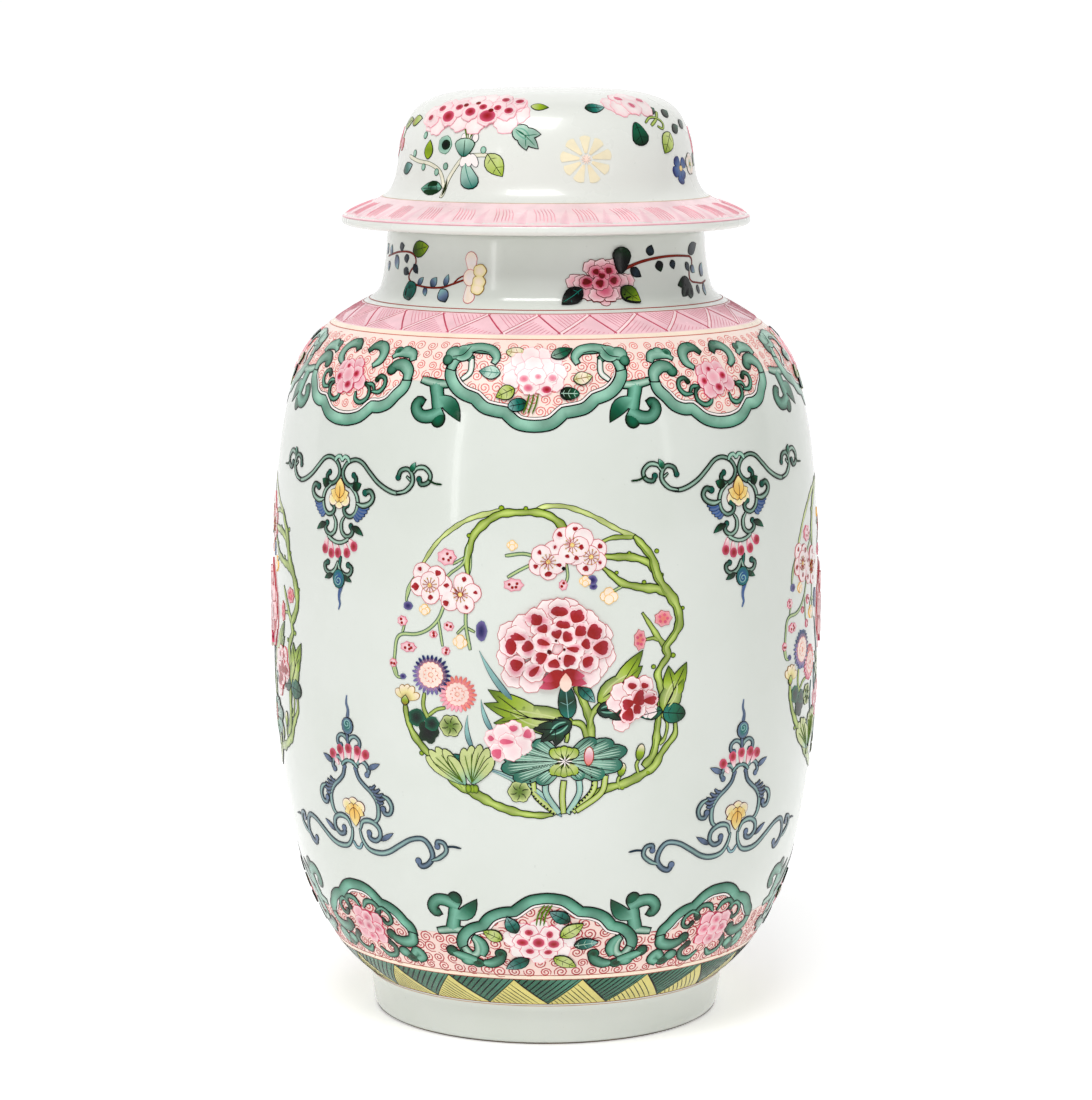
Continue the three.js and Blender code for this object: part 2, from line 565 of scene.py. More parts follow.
def biscuit_and_shadow_finish(name):
    """Unglazed porcelain, warm where it met the kiln shelf, and darker brown as painted shadow where the foot
    meets the floor.
    """
    made, tree, shader = new_finish(name)
    scorch_and_shade = ranged(tree, noise(tree, 60.0, 6.0), 0.0, 1.0)
    mix = tree.nodes.new("ShaderNodeMix")
    # Both browns are partly the bare clay and partly painted contact shadow along the foot's edge.
    mix.data_type = "RGBA"
    mix.inputs["A"].default_value = (*linear(112, 92, 66), 1)
    mix.inputs["B"].default_value = (*linear(48, 38, 27), 1)
    tree.links.new(scorch_and_shade, mix.inputs["Factor"])
    tree.links.new(mix.outputs["Result"], shader.inputs["Base Color"])
    tree.links.new(ranged(tree, noise(tree, 300.0), 0.6, 0.85), shader.inputs["Roughness"])
    tree.links.new(bump_of(tree, noise(tree, 900.0), 0.12 * MM, 0.8), shader.inputs["Normal"])
    return made


FINISHES = {
    "ink": enamel("line_enamel", 0.8, 1.35, (0.2, 0.38), 90, 0.05, 1.22),
    "hair": enamel("fine_line_enamel", 0.85, 1.2, (0.25, 0.42), 120, 0.04, 1.22),
    "green": enamel("green_glass_enamel", 0.72, 1.22, (0.08, 0.2), 75, 0.12),
    "lime": enamel("lime_glass_enamel", 0.82, 1.14, (0.08, 0.2), 75, 0.12),
    "rose": enamel("rose_enamel", 0.9, 1.07, (0.16, 0.3), 85, 0.1),
    "crimson": enamel("crimson_enamel", 0.8, 1.2, (0.14, 0.26), 85, 0.1),
    "blue": enamel("blue_glass_enamel", 0.78, 1.2, (0.08, 0.2), 75, 0.12),
    "yellow": enamel("yellow_enamel", 0.88, 1.08, (0.14, 0.28), 75, 0.1),
    "ground": enamel("ground_enamel", 0.94, 1.04, (0.18, 0.32), 60, 0.12),
}


# ---------------------------------------------------------------- the painter


DARK_LEAF = "dark_green green pale_green"
INKY_LEAF = "black_green dark_green green"
LIME_LEAF = "deep_lime lime pale_lime"
OLIVE_LEAF = "ochre lime pale_lime"
TEAL_LEAF = "dark_green teal pale_teal"
WHITE_PETAL = "rose pale_pink petal_white"
PINK_PETAL = "crimson pink pale_pink"
GREEN_BAND = "green pale_green"
LIGHTER_GREEN = "green/pale_green/0.45 pale_green/mint/0.5"  # the same greens, mixed lighter, for the borders at the shoulder
LIME_BRANCH = "deep_lime/lime/0.35 pale_lime/lime/0.5"


class Painter:
    """Paints one register of the decoration, keeping its colours in coats of their own."""

    def __init__(self, register, body):
        self.register, self.body, self.coats, self.turn = register, body, {}, 0

    def coat(self, hue):
        if hue not in self.coats:
            self.coats[hue] = Coat(f"{self.register}_{hue}", self.body, FINISHES[hue])
        return self.coats[hue]

    def lift(self, level):
        """How far out a level stands. Shapes differ a little, so that no two neighbours lie in one plane."""
        self.turn = (self.turn + 1) % 9
        return THIN + LEVEL * level + STAGGER * self.turn

    def ribbon(self, spot, points, width, hue, tints, level=0, line="black_green", rim=0.48, taper=(0.4, 0.4),
               cols=4):
        """A line of one colour with a dark edge."""
        path = curve(points, 1.3)
        h = self.lift(level)
        if line:
            stroke(self.coat("ink"), spot, path, width, h, (line, line), taper, rim, 2, 0)
        stroke(self.coat(hue), spot, path, width, h + FILL, tints, taper, cols=cols)

    def branch(self, spot, points, width, level=0, rim=0.44, tints=LIME_BRANCH):
        """A knobbly length of branch, pale along its middle, with a shaded side."""
        path = curve(points, 1.1)
        walk = np.arange(len(path)) * 1.1
        widths = np.interp(np.linspace(0, 1, len(path)), np.linspace(0, 1, len(width)), width)
        slow, quick = (np.sin(walk / wave + rng.uniform(0, 6)) for wave in (2.4, 1.1))
        widths = widths * (1.04 + 0.13 * slow + 0.12 * quick)
        h = self.lift(level)
        stroke(self.coat("ink"), spot, path, widths, h, "olive olive", (0.4, 0.4), rim, 2, 0)
        stroke(self.coat("lime"), spot, path, widths, h + FILL, tints, (0.4, 0.4), mottle=0.22)
        if min(width) > 2:
            side = leftward(path) * (widths * rng.choice((-0.27, 0.27)))[:, None]
            cut = max(4, len(path) // 3)
            for start in range(1, len(path) - cut, cut + 2):
                ridge(self.coat("hair"), spot, (path + side)[start : start + cut], 0.34, h + FILL + 0.02,
                      "deep_lime")

    def border(self, spot, runs, width, about, inner, tints=GREEN_BAND):
        """A green border of bowed runs that meet in points, the same both ways from the line x = about, with
        a white line inside it."""
        half = np.vstack([curve(r, 1.3)[: None if r is runs[-1] else -1] for r in runs])
        path = np.vstack([(half * (-1, 1) + (2 * about, 0))[:0:-1], half])
        h = THIN + LEVEL * 0.8
        stroke(self.coat("ink"), spot, path, width, h, "black_green black_green", (0.9, 0.9), 0.6, 2, 0)
        stroke(self.coat("green"), spot, path, width, h + FILL, tints, (0.9, 0.9), cols=6, mottle=0.22,
               lean=-0.75 * np.sign(inner))
        off = (path + leftward(path) * inner)[2:-2]
        ridge(self.coat("ink"), spot, off, 1.7, h - 0.02, "olive/black_green")
        ridge(self.coat("ground"), spot, off, 1.0, h + 0.02, "petal_white")

    def merged(self, spot, parts, hue="green", level=1, line="black_green", rim=0.52):
        """Several shapes painted as one, outlined only round the whole. A part is ("stroke", points, width,
        tints), ("lobe", (base, tip), width, tints, form, bend) or ("disc", centre, radii, tints)."""
        h = self.lift(level)
        for coat, grow, dome in ((self.coat("ink"), rim, 0.0), (self.coat(hue), 0.0, DOME)):
            for k, (kind, place, size, tints, *more) in enumerate(parts):
                top = h + (FILL + 0.002 * k if dome else 0)
                tints = tones(tints) if dome else (line,) * len(tones(tints))
                if kind == "stroke":
                    stroke(coat, spot, curve(place, 1.2), size, top, tints, (0.6, 0.6), grow,
                           4 if dome else 2, dome)
                elif kind == "lobe":
                    lobe(coat, spot, *place, size, top, tints, *more, grow=grow, rows=10, dome=dome)
                else:
                    disc(coat, spot, place, size, top, tints, grow=grow, dome=dome)

    def cut_leaf(self, spot, base, tips, width, level=1.5, bend=0.0, hue="lime", tints=LIME_LEAF,
                 dark="black_green"):
        """A broad leaf cut at its end into pointed, darker tips, with a midrib."""
        base, far, tints = np.array(base, float), np.mean(tips, axis=0), tones(tints)
        body = base + (far - base) * 0.8
        parts = [("lobe", (base + (far - base) * 0.36, tip), width * 0.62, (tints[2], tints[1],
                tints[0] * 0.8), "leaf", bend * 0.5)
                 for tip in tips]
        parts.append(("lobe", (base, body), width, (tints[1], tints[2], tints[1], tints[0]), "leaf", bend))
        self.merged(spot, parts, hue, level, "olive" if hue == "lime" else "black_green")
        across = np.array([base[1] - far[1], far[0] - base[0]]) / np.hypot(*(far - base))
        for side in (-0.2, 0.24):
            points = [base + (body - base) * t + across * (side * width * math.sin(math.pi * t) + bend * 4 * t
                    * (1 - t))
                      for t in (0.16, 0.4, 0.65, 0.9)]
            self.line(spot, points, 0.8, "pale_lime" if hue == "lime" else "pale_green", level + 0.1, hue,
                      (0.2, 0.2))
        for tip in tips:
            mid = (base + far) / 2 + across * bend
            self.line(spot, [base + (far - base) * 0.1, mid, np.array(tip) * 0.8 + mid * 0.2], 0.4, dark,
                      level + 0.3, "hair")

    def comma(self, spot, points, width, hue="green", tints="green pale_green dark_green dark_green", level=0,
              line="black_green", head=1.25, rim=0.4):
        """A scroll that swells into a round end."""
        tints = tones(tints)
        path = curve(points, 1.0)
        n = len(path)
        widths = width * np.interp(np.linspace(0, 1, n), [0, 0.25, 0.6, 1], [0.45, 1, 0.85, head * 0.8])
        h = self.lift(level)
        end = path[-1]
        if line:
            stroke(self.coat("ink"), spot, path, widths, h, (line, line), (0.3, 1), rim, 2, 0)
            disc(self.coat("ink"), spot, end, width * head * 0.5 + rim, h + 0.002, (line, line), steps=12,
                 dome=0)
        stroke(self.coat(hue), spot, path, widths, h + FILL, tints, (0.3, 1), cols=2)
        disc(self.coat(hue), spot, end, width * head * 0.5, h + FILL + 0.003, (tints[-1], tints[-1]),
             steps=10)

    def leaf(self, spot, base, tip, width, hue="green", tints=DARK_LEAF, level=1, line="black_green",
             vein=None,
             form="leaf", bend=0.0, rim=0.45, ribs=3, rows=9):
        """A leaf, edged and, where it has a vein colour, veined."""
        h = self.lift(level)
        if line:
            lobe(self.coat("ink"), spot, base, tip, width, h, (line, line, line), form, bend, rim, rows, 2, 0)
        middle, n, half = lobe(self.coat(hue), spot, base, tip, width, h + FILL, tints, form, bend, 0.0, rows)
        if vein:
            cut = middle[: -1 if rows > 6 else None]
            ridge(self.coat("hair"), spot, cut, 0.42, h + FILL + 0.03, vein)
            forward = np.array([n[1], -n[0]])
            for k in range(ribs):
                at = (k + 1) / (ribs + 1)
                i = at * (len(middle) - 1) * 0.85
                root = np.array([np.interp(i, range(len(middle)), middle[:, c]) for c in (0, 1)])
                reach = np.interp(i, range(len(middle)), half) * 0.8
                for side in (-1, 1):
                    end = root + n * side * reach + forward * reach * 0.55
                    ridge(self.coat("hair"), spot, np.array([root, (root + end) / 2, end]), 0.3,
                          h + FILL + 0.025, vein)

    def petal(self, spot, base, tip, width, hue="rose", tints=WHITE_PETAL, level=1, line="rose", **kw):
        kw.setdefault("form", "petal")
        self.leaf(spot, base, tip, width, hue, tints, level, line, rim=kw.pop("rim", 0.28), **kw)

    def dot(self, spot, centre, radii, hue, inner, outer=None, level=1, line="black_green", rim=0.35,
            steps=12, **kw):
        h = self.lift(level)
        if line:
            disc(self.coat("ink"), spot, centre, radii, h, (line, line), grow=rim, steps=steps, dome=0, **kw)
        disc(self.coat(hue), spot, centre, radii, h + FILL, (inner, outer or inner), steps=steps, **kw)

    def line(self, spot, points, width, tint, level=0, hue="ink", ends=(0.35, 0.35)):
        ridge(self.coat(hue), spot, curve(points, 1.3), width, self.lift(level) + 0.09, tint, ends)

    def blossom(self, spot, centre, radius, petals=5, tints=WHITE_PETAL, line="rose", blush=True):
        """A small open flower of round petals."""
        c = np.array(centre, float)
        for k in range(petals):
            a = math.radians(90 + 360 * k / petals)
            out = np.array([math.cos(a), math.sin(a)])
            self.petal(spot, c + out * radius * 0.12, c + out * radius, radius * 5.1 / petals, "rose", tints,
                       1 + 0.25 * (k % 2), line, rows=7)
            if blush:
                self.dot(spot, c + out * radius * 0.38, radius * 0.13, "crimson", "crimson", level=2.1,
                         line=None, steps=7)
        self.dot(spot, c, radius * 0.2, "yellow", "yellow", "ochre", 2.3, None, steps=8)

    def petals_at(self, spot, centre, marks, size, level=1, tints=("pale_pink", "petal_white"),
                  line="petal_line",
                  blotch=("crimson", "rose"), inward=0.25, frill=0.05, mark=0.8, soft=False):
        """Round petals, the outermost lowest, then the crimson mark of each. A place is (x, y) for a plain
        petal, or (x, y, half width, half height) for one with a mark."""
        c = np.array(centre, float)
        order = sorted(marks, key=lambda m: -math.hypot(m[0] - c[0], m[1] - c[1]))
        step = 0.4
        for k, (x, y, *_) in enumerate(order):
            at = c + (np.array([x, y]) - c) * (1 - inward)
            self.dot(spot, at, np.multiply(size, rng.uniform(0.93, 1.07)), "rose", tints[0], tints[1],
                     level + step * k, line, 0.26, 18, frill=frill, waves=7, phase=rng.uniform(0, 6))
        for x, y, w, h in (m for m in order if len(m) == 4):
            out = math.degrees(math.atan2(y - c[1], x - c[0]))
            top, look = level + step * len(order) + 0.2, {"waves": 7, "phase": math.radians(out),
                                                          "turn": rng.uniform(-14, 14)}
            self.dot(spot, (x, y), (w * mark, h * mark), "crimson", blotch[1], tints[0], top, None, steps=16,
                     frill=0.08, **look)
            if soft:
                self.dot(spot, (x, y), (w * mark * 0.82, h * mark * 0.82), "crimson", *blotch, top + 0.7,
                         None, steps=16, **look)
            else:
                self.dab(spot, (x, y), np.multiply((w, h), mark * 0.9), math.radians(out), top + 0.7,
                         tones(blotch))

    def dab(self, spot, at, radii, out, level, tints):
        """One touch of a loaded brush: short lobes that fan outwards from their root, paler at their ends."""
        along = np.array([math.cos(out), math.sin(out)])
        across = np.array([-along[1], along[0]])
        reach, spread = (1 / np.hypot(*(way / radii)) for way in (along, across))
        root = at - along * reach * 0.95
        for k, far in ((-1, 0.7), (1, 0.74), (0, 0.94)):
            out_by, aside = far + rng.uniform(-0.3, 0.2), 0.64 * k + rng.uniform(-0.14, 0.14)
            tip = at + along * reach * out_by + across * spread * aside
            lobe(self.coat("crimson"), spot, root, tip, spread * 1.08, self.lift(level + 0.2 * (k == 0)),
                 (tints[0], tints[0], tints[0] * 0.78 + tints[1] * 0.22), "petal", rows=7, cols=2)

    def burr(self, spot, centre, radii, tips, body, heart, level=1, count=24, line="slate"):
        """A chrysanthemum: a ring of narrow dark-tipped petals round a soft lined middle."""
        c = np.array(centre, float)
        rx, ry = radii
        self.dot(spot, c, (rx * 0.8, ry * 0.8), "rose", heart, body, level, None, steps=20)
        for i in range(count):
            a = 2 * math.pi * i / count
            out = np.array([rx * math.cos(a), ry * math.sin(a)])
            tip = tips[int(len(tips) * (0.5 + 0.499 * math.sin(a + 0.8)))]
            self.petal(spot, c + out * 0.5, c + out * rng.uniform(0.95, 1.04),
                       2 * math.pi * max(rx, ry) / count * 0.58, "blue", (body, tip, tip),
                       level + 0.5 + 0.4 * (i % 2), line, form="round", rim=0.12, rows=6)
        for ring, (near, far) in enumerate(((0.34, 0.64), (0.12, 0.4))):
            for i in range(16 - 6 * ring):
                a = 2 * math.pi * (i + 0.5) / (16 - 6 * ring)
                out = np.array([rx * math.cos(a), ry * math.sin(a)])
                self.petal(spot, c + out * near, c + out * far, 2 * math.pi * rx * far / 16 * 1.05, "rose",
                           (heart, heart + "/pale_pink", heart), level + 1.4 + 0.6 * ring, "salmon",
                           form="round", rim=0.16, rows=5)

    def trefoil(self, spot, upward=1):
        """The three-part leaf that hangs from the bar between two scroll panels. Its curl is on the right."""
        u = upward
        dark, mid, pale = "dark_green", "green", "pale_green"
        self.merged(spot,
                    [("stroke", [(-8, 8.6 * u), (0, 8 * u), (9, 9.6 * u)], 3.4, (mid, "mint")),
                     ("stroke", [(1.4, 8.4 * u), (0, 3 * u), (-2, -3 * u)], (8.0, 5.6, 8.4), (mid, pale)),
                     ("lobe", ((-1, 2 * u), (-11.8, -8.6 * u)), 6.4, (pale, mid, dark), "leaf", -1.6 * u),
                     ("disc", (-1.6, -7.8 * u), (3.1, 3.6), (mid, dark)),
                     ("stroke",
                      [(-3, -4 * u), (2, -6.8 * u), (7, -6.8 * u), (9.8, -3.4 * u), (8.6, -0.2 * u),
                       (6.2, -1 * u)], (6.5, 5.4, 5.0, 4.6, 3.6), (mid, pale, dark, mid)),], level=0.1,
                    rim=0.55)


def spiral_ground(painter, spot_of, low, high, radius, tint, every, width):
    """Small spirals in rows all over a ground between two edges, given as functions of the angle."""
    side, rows = spot_of(0).side, 0
    lowest = min(low(np.linspace(0, 2 * math.pi, 181)))
    highest = max(high(np.linspace(0, 2 * math.pi, 181)))
    s = lowest + every * 0.5
    while s < highest:
        count = int(2 * math.pi * side.radius(s) / (every * 1.12))
        for i in range(count):
            a = 2 * math.pi * (i + 0.5 * (rows % 2) + rng.uniform(-0.12, 0.12)) / count
            edge = np.array([a])
            if low(edge)[0] + radius * 0.9 < s < high(edge)[0] - radius * 0.8:
                spot = spot_of(math.degrees(a))
                mid = s - spot.s + rng.uniform(-0.1, 0.1) * every
                size = radius * rng.uniform(0.8, 1.15)
                ridge(painter.coat("hair"), spot,
                      coil((0, mid), size, 1.9, rng.uniform(0, 360), rng.choice((-1, 1)), 18), width, 0.145,
                      tint, (0.6, 0.6))
        s += every * 0.93
        rows += 1


def edge_from(points):
    """An edge height as a function of the angle, from (degrees, height) repeated every quarter turn."""
    degrees = np.array([p[0] for p in points], float)
    heights = np.array([p[1] for p in points], float)

    def edge(a):
        return np.interp(np.degrees(a), degrees, heights, period=90)

    return edge


# ---------------------------------------------------------------- bands


def hatch(painter, spot, start, end, width, tint, hue="hair", top=0.26):
    """One straight hatching line."""
    a, b = np.array(start, float), np.array(end, float)
    ridge(painter.coat(hue), spot, a + (b - a) * np.linspace(0, 1, 5)[:, None], width, top, tint, (0.5, 0.5))


def foot_band():
    """Pale yellow and green triangles, all hatched, between lines, above the foot."""
    p = Painter("foot", JAR)
    hoop(p.coat("yellow"), jar_side, 22.3, 43.6, 0.10, "pale_yellow/yellow/0.66", rows=8)
    hoop(p.coat("hair"), jar_side, 21.9, 22.3, 0.2, "iron_red/brown")
    hoop(p.coat("hair"), jar_side, 20.5, 20.85, 0.14, "ochre/peach")
    hoop(p.coat("ground"), jar_side, 43.5, 46.3, 0.13, "cream", rows=3)
    for s in (43.6, 46.3):
        hoop(p.coat("hair"), jar_side, s - 0.2, s + 0.2, 0.16, "iron_red")
    repeats, low, high = 20, -8.4, 12.4
    for k in range(repeats):
        spot = Spot(jar_side, 360 / repeats * k, 31, shift=1.0)
        w = math.pi * spot.reach / repeats
        u, v = np.linspace(0, 1, 8), np.linspace(-1, 1, 6)
        y = (low + (high - low) * u)[:, None] * np.ones((1, 6))
        x = (0.3 + (w - 0.5) * u)[:, None] * v
        k_light = np.clip(0.15 + 0.5 * u[:, None, None] * (v[None, :, None] + 1) / 1.3, 0, 0.8)
        shade = tone("green/dark_green/0.45") * (1 - k_light) + tone("pale_green/green/0.6") * k_light
        faces, rim = grid_faces(8, 6)
        raise_patch(p.coat("green"), spot, x, y, 0.17 + 0 * x, shade, faces, rim)
        left, right, foot = np.array([-w, high]), np.array([w, high]), np.array([0, low])
        for t in np.linspace(0.1, 0.94, 9):  # the green: slanting lines, parallel to its right edge
            hatch(p, spot, left + (right - left) * t, left + (foot - left) * t, 0.75, "black_green", "ink",
                  0.24)
        hatch(p, spot, left, foot, 1.0, "black_green", "ink", 0.27)
        hatch(p, spot, right, foot, 0.6, "olive", "ink", 0.27)
        corner = np.array([2 * w, low])
        for t in np.linspace(0.16, 0.92, 9):  # the yellow: parallel to its own right edge
            start = right + (foot - right) * t
            hatch(p, spot, start + (0.5, -0.4), start + (corner - right) * (1 - t), 0.5, "olive", top=0.17)


def zigzag_band(painter, side, s_low, s_high, repeats, slope, lean):
    """A pink band with a leaning zigzag. Its triangles are hatched in rose, each along its far arm."""
    rose, soft = "band_rose/iron_red/0.2", "band_rose/band_pink/0.35"
    hoop(painter.coat("rose"), side, s_low, s_high, 0.10, "band_pink", rows=6)
    middle = (s_low + s_high) / 2
    tall = (s_high - s_low) / 2 - 0.8
    hair = painter.coat("hair")
    for k in range(repeats):
        spot = Spot(side, 360 / repeats * k, middle, shift=lean)
        step = 2 * math.pi * spot.reach / repeats
        rise = step * slope
        low, peak = np.array([0.0, -tall]), np.array([rise, tall])
        climb, fall = peak - low, np.array([step, -tall]) - peak
        stroke(painter.coat("rose"), spot, low + climb * np.linspace(0, 1, 5)[:, None], 2.3, 0.17,
               "band_pale band_pale", (1, 1), cols=2, dome=0)
        for start, way, gap, width in ((low, climb, -1.2, 0.34), (low, climb, 1.2, 0.5),
                                       (peak, fall, 0, 0.8)):
            ridge(hair, spot, start + (gap, 0) + way * np.linspace(0, 1, 4)[:, None], width, 0.26, rose,
                  (0.9, 0.9))
        for t in np.linspace(0.22, 0.9, 9):  # the triangle that stands on its point
            start = peak + (step * t, 0)
            ridge(hair, spot, start + fall * (0.94 - t) * np.linspace(0, 1, 4)[:, None], 0.36, 0.2, soft)
        for t in np.linspace(0.16, 0.84, 8):  # the one that stands on its base
            start = low + (step * t, 0)
            ridge(hair, spot,
                  start + climb * (0.9 - t) * (0.45 + 0.4 * (k % 2)) * np.linspace(0, 1, 4)[:, None], 0.3,
                  0.2, soft)


def shoulder_band():
    p = Painter("shoulder", JAR)
    hoop(p.coat("ground"), jar_side, 347.6, 350.3, 0.12, "cream", rows=3)
    hoop(p.coat("hair"), jar_side, 347.2, 347.7, 0.16, "salmon/iron_red")
    zigzag_band(p, jar_side, 350.2, 366.0, 24, 0.6, 6.0)
    for s in (366.1, 369.2):
        hoop(p.coat("hair"), jar_side, s - 0.2, s + 0.2, 0.2, "iron_red")


def flange_band():
    """A pale pink band round the flange, with groups of fine upright strokes."""
    p = Painter("flange", LID)
    hoop(p.coat("rose"), lid_side, 5.6, 26.0, 0.10, "band_pale/band_pink/0.25", rows=8)
    hoop(p.coat("hair"), lid_side, 5.2, 5.6, 0.16, "band_rose/band_pink")
    hoop(p.coat("hair"), lid_side, 25.9, 26.4, 0.14, "ochre/cream/0.45")
    groups = 30
    for k in range(groups):
        spot = Spot(lid_side, 360 / groups * k, 14)
        step = 2 * math.pi * spot.reach / groups
        for i in range(6):
            x, reach = -4.6 + 1.6 * i + rng.uniform(-0.2, 0.2), rng.uniform(0.75, 1.0)
            p.line(spot, [(x - 1.2, 7.4 * reach), (x + 0.3, 1), (x + 0.7, -6.4 * reach)], 0.4, "pink", 0.3,
                   "hair")
        stroke(p.coat("rose"), spot, curve([(step * 0.42, -7), (step * 0.46, -1), (step * 0.52, 6)]),
               (4.4, 3.0, 0.8), 0.125, "band_pale/band_pink band_pink", (0.9, 0.2), dome=0)


# ---------------------------------------------------------------- the scroll panels at the shoulder


UPPER_EDGE = edge_from([
    (-2.4, 305.2), (1.4, 306.5), (3.9, 310), (8.2, 313), (11.5, 317.5), (13.5, 320), (15.6, 323.5),
    (23.8, 324), (24.8, 319), (26.7, 315), (30.6, 310), (33.5, 309), (34.9, 306), (41.2, 303.5), (45, 304.5),
    (48, 308), (50.8, 310), (54, 314), (56.5, 320), (58.5, 324), (69.6, 323.5), (71.7, 320), (74.6, 315),
    (79.9, 311), (83.8, 306.5),
])


def upper_top(a):
    return np.full(np.shape(a), 347.4)


def upper_lappet_a(p, degrees):
    """A wide green border, curled up at its ends into clouds, round a pale peony."""
    spot = Spot(jar_side, degrees, SHOULDER_AT)
    dark, mid, pale, mint = "dark_green/green", "green/pale_green/0.4", "pale_green/mint", "mint"
    p.border(spot,
             [[(-5, -10.2), (-1, -9.9), (3, -8.6), (8, -4.2)], [(8, -4.2), (13, -3.4), (17.6, -2), (22, 1.8)],
              [(22, 1.8), (28, 4.0), (32.4, 7.6), (35.2, 12.4), (35.4, 17)]], 4.7, -5, 3.4, LIGHTER_GREEN)
    for s in (spot, spot.mirrored(-5)):
        p.merged(s,
                 [("stroke", [(35.4, 15), (34, 20), (29.6, 22.4), (26, 20.4)], (4.7, 4.4, 3.6),
                   (mid, pale, dark, mid)),
                  ("stroke", [(26, 20.4), (25.6, 14), (29, 10.4)], (2.2, 2.0), (mint, "petal_white"))],
                 level=1.5)
        p.merged(s,
                 [("stroke", [(15, 18.6), (13.9, 21.6), (16.8, 25.4), (23, 26.6), (30, 26.4)],
                   (2.8, 4.4, 5.4, 4.4), (mid, pale)), ("disc", (31, 23.6), (4.6, 4.2), (mid, pale)),
                  ("disc", (36, 23.4), (4.0, 3.4), (pale, mid)), ("disc", (38, 20), (2.4, 2.8), (mid, dark))],
                 level=2.3)
        p.line(s, [(28, 27.4), (31, 22.6), (36, 21.4)], 0.4, "black_green", 3.2, "hair")
        p.line(s, [(18, 24), (23, 25), (27, 23.6)], 0.4, "black_green", 3.2, "hair")
    blank = [(-19, 16), (-14.6, 22), (-8, 25.4), (-1, 25.4), (5.4, 21.4), (8, 14.4), (6.4, 8.4),
             (-18, 10.4), (-11.6, 15.4), (-6, 18.6), (1, 18), (-3.6, 12, 2.2, 1.8)]
    marks = [(-10, 11, 3.2, 2.4), (-8, 6.8, 3.2, 2.6), (3, 11.4, 2.8, 2.4), (0, 6, 3.4, 2.4)]
    p.petals_at(spot, (-5, 13), blank + marks, 3.9, 1, ("blush", "petal_white"), "pink", ("rose", "pink"),
                0.2, 0.1, 0.78, soft=True)
    p.dot(spot, (0.4, 6), (2.0, 1.6), "crimson", "crimson", "rose", 9, None)
    for leaf in (
        ((-10.6, 24), (-19.4, 25), 6.0, "lime", "pale_lime cream pale_lime", 1, "olive", "ochre", "heart"),
        ((-14.4, 6.4), (-22, 2.6), 6.2, "lime", "lime pale_lime lime", 6.6, "olive", "olive"),
        ((-8.6, 0), (-16.4, -1.6), 5.4, "green", TEAL_LEAF, 6.6, "black_green", "black_green", "round"),
        ((6.6, 4.4), (14.6, 4.2), 5.6, "green", INKY_LEAF, 6.6, "black_green", "mint", "heart"),
        ((-21.4, 13.6), (-31, 14.4), 6.0, "green", "pale_green mint teal", 4.6, "black_green", "teal"),
        ((12.8, 10.6), (21, 12), 5.6, "lime", "pale_lime cream pale_lime", 6.6, "olive", "ochre"),
        ((2.8, 22), (12.8, 26.2), 5.4, "green", "mint green dark_green", 6.6, "black_green", "black_green"),
    ):
        p.leaf(spot, *leaf)
    for x in (-3.4, -5.4, -7.4):
        p.line(spot, [(x, 4.2), (x - 1.0, -0.4), (x - 2.6, -4.6)], 0.7, "deep_lime", 6.6)


def upper_lappet_b(p, degrees):
    """A green border whose ends turn in as scrolls, round a pink flower among comma scrolls."""
    spot = Spot(jar_side, degrees, SHOULDER_AT)
    dark, mid, pale = "dark_green/green", "green/pale_green/0.4", "pale_green/mint"
    p.border(spot,
             [[(-8, -11.6), (-13, -11.2), (-19.4, -9.2), (-25.4, -4.4)],
              [(-25.4, -4.4), (-30, -4.2), (-34.6, -2.2), (-38, 1.6)],
              [(-38, 1.6), (-41.6, 5.4), (-42.6, 10)]], 4.7, -8, -3.4, LIGHTER_GREEN)
    for s in (spot, spot.mirrored(-8)):
        p.merged(s,
                 [("stroke", [(-42.5, 9), (-42, 13), (-38, 16), (-33.4, 15.4), (-31.8, 12.8)],
                   (4.7, 5.2, 5.6, 5.0, 3.8), (mid, pale, dark, mid)),
                  ("disc", (-32.4, 13.6), (2.6, 2.4), (mid, dark))], level=1.5, rim=0.55)
        p.merged(s,
                 [("stroke", [(-42.6, 18.6), (-41, 21.6), (-37, 22.6), (-32.6, 21.6), (-30, 19.6)],
                   (3.6, 4.8, 5.2, 3.6, 2.2), (mid, pale)), ("disc", (-36.4, 23.6), (2.8, 2.2), (pale, mid)),
                  ("disc", (-32, 23), (2.2, 2), (dark, mid))], level=1.2)
        p.merged(s,
                 [("stroke", [(-19.6, 14.4), (-23, 17.4), (-23.2, 21.6), (-20, 24.8), (-15, 25), (-12, 21.8)],
                   (2.4, 4.2, 4.6, 4.8, 4.2, 3.0), (mid, pale, dark, dark)),
                  ("disc", (-16.4, 26), (2.4, 1.8), (mid, dark))], level=1.8)
        p.comma(s, [(-24, 2.4), (-28.2, 2.6), (-30.6, 5.6), (-30, 8.8), (-27, 9.8), (-25.4, 8.2)], 1.8,
                level=2.6)
        p.comma(s, [(-13.6, 1.4), (-14.4, -1.8), (-18, -3), (-21.8, -0.6), (-22, 3.4), (-19, 5.8)], 1.8,
                level=2.6, head=0.8)
        p.comma(s, [(-20, 5.8), (-23.6, 5.4), (-25.4, 2.4)], 1.5, level=2.4, head=0.8)
    marks = [(-16.4, 7.6, 2.6, 2.6), (-12, 13, 2.0, 1.8), (-4.6, 9.6, 3.0, 2.6), (-8.6, 4.4, 3.2, 2.6),
             (-16, 12), (-6, 13.6), (-1, 6), (-13.6, 3.4), (-10.4, 9)]
    p.petals_at(spot, (-10, 8.6), marks, 3.6, 3, ("pink", "pale_pink"), "rose", ("crimson", "rose"), 0.04,
                0.08, 0.7, soft=True)


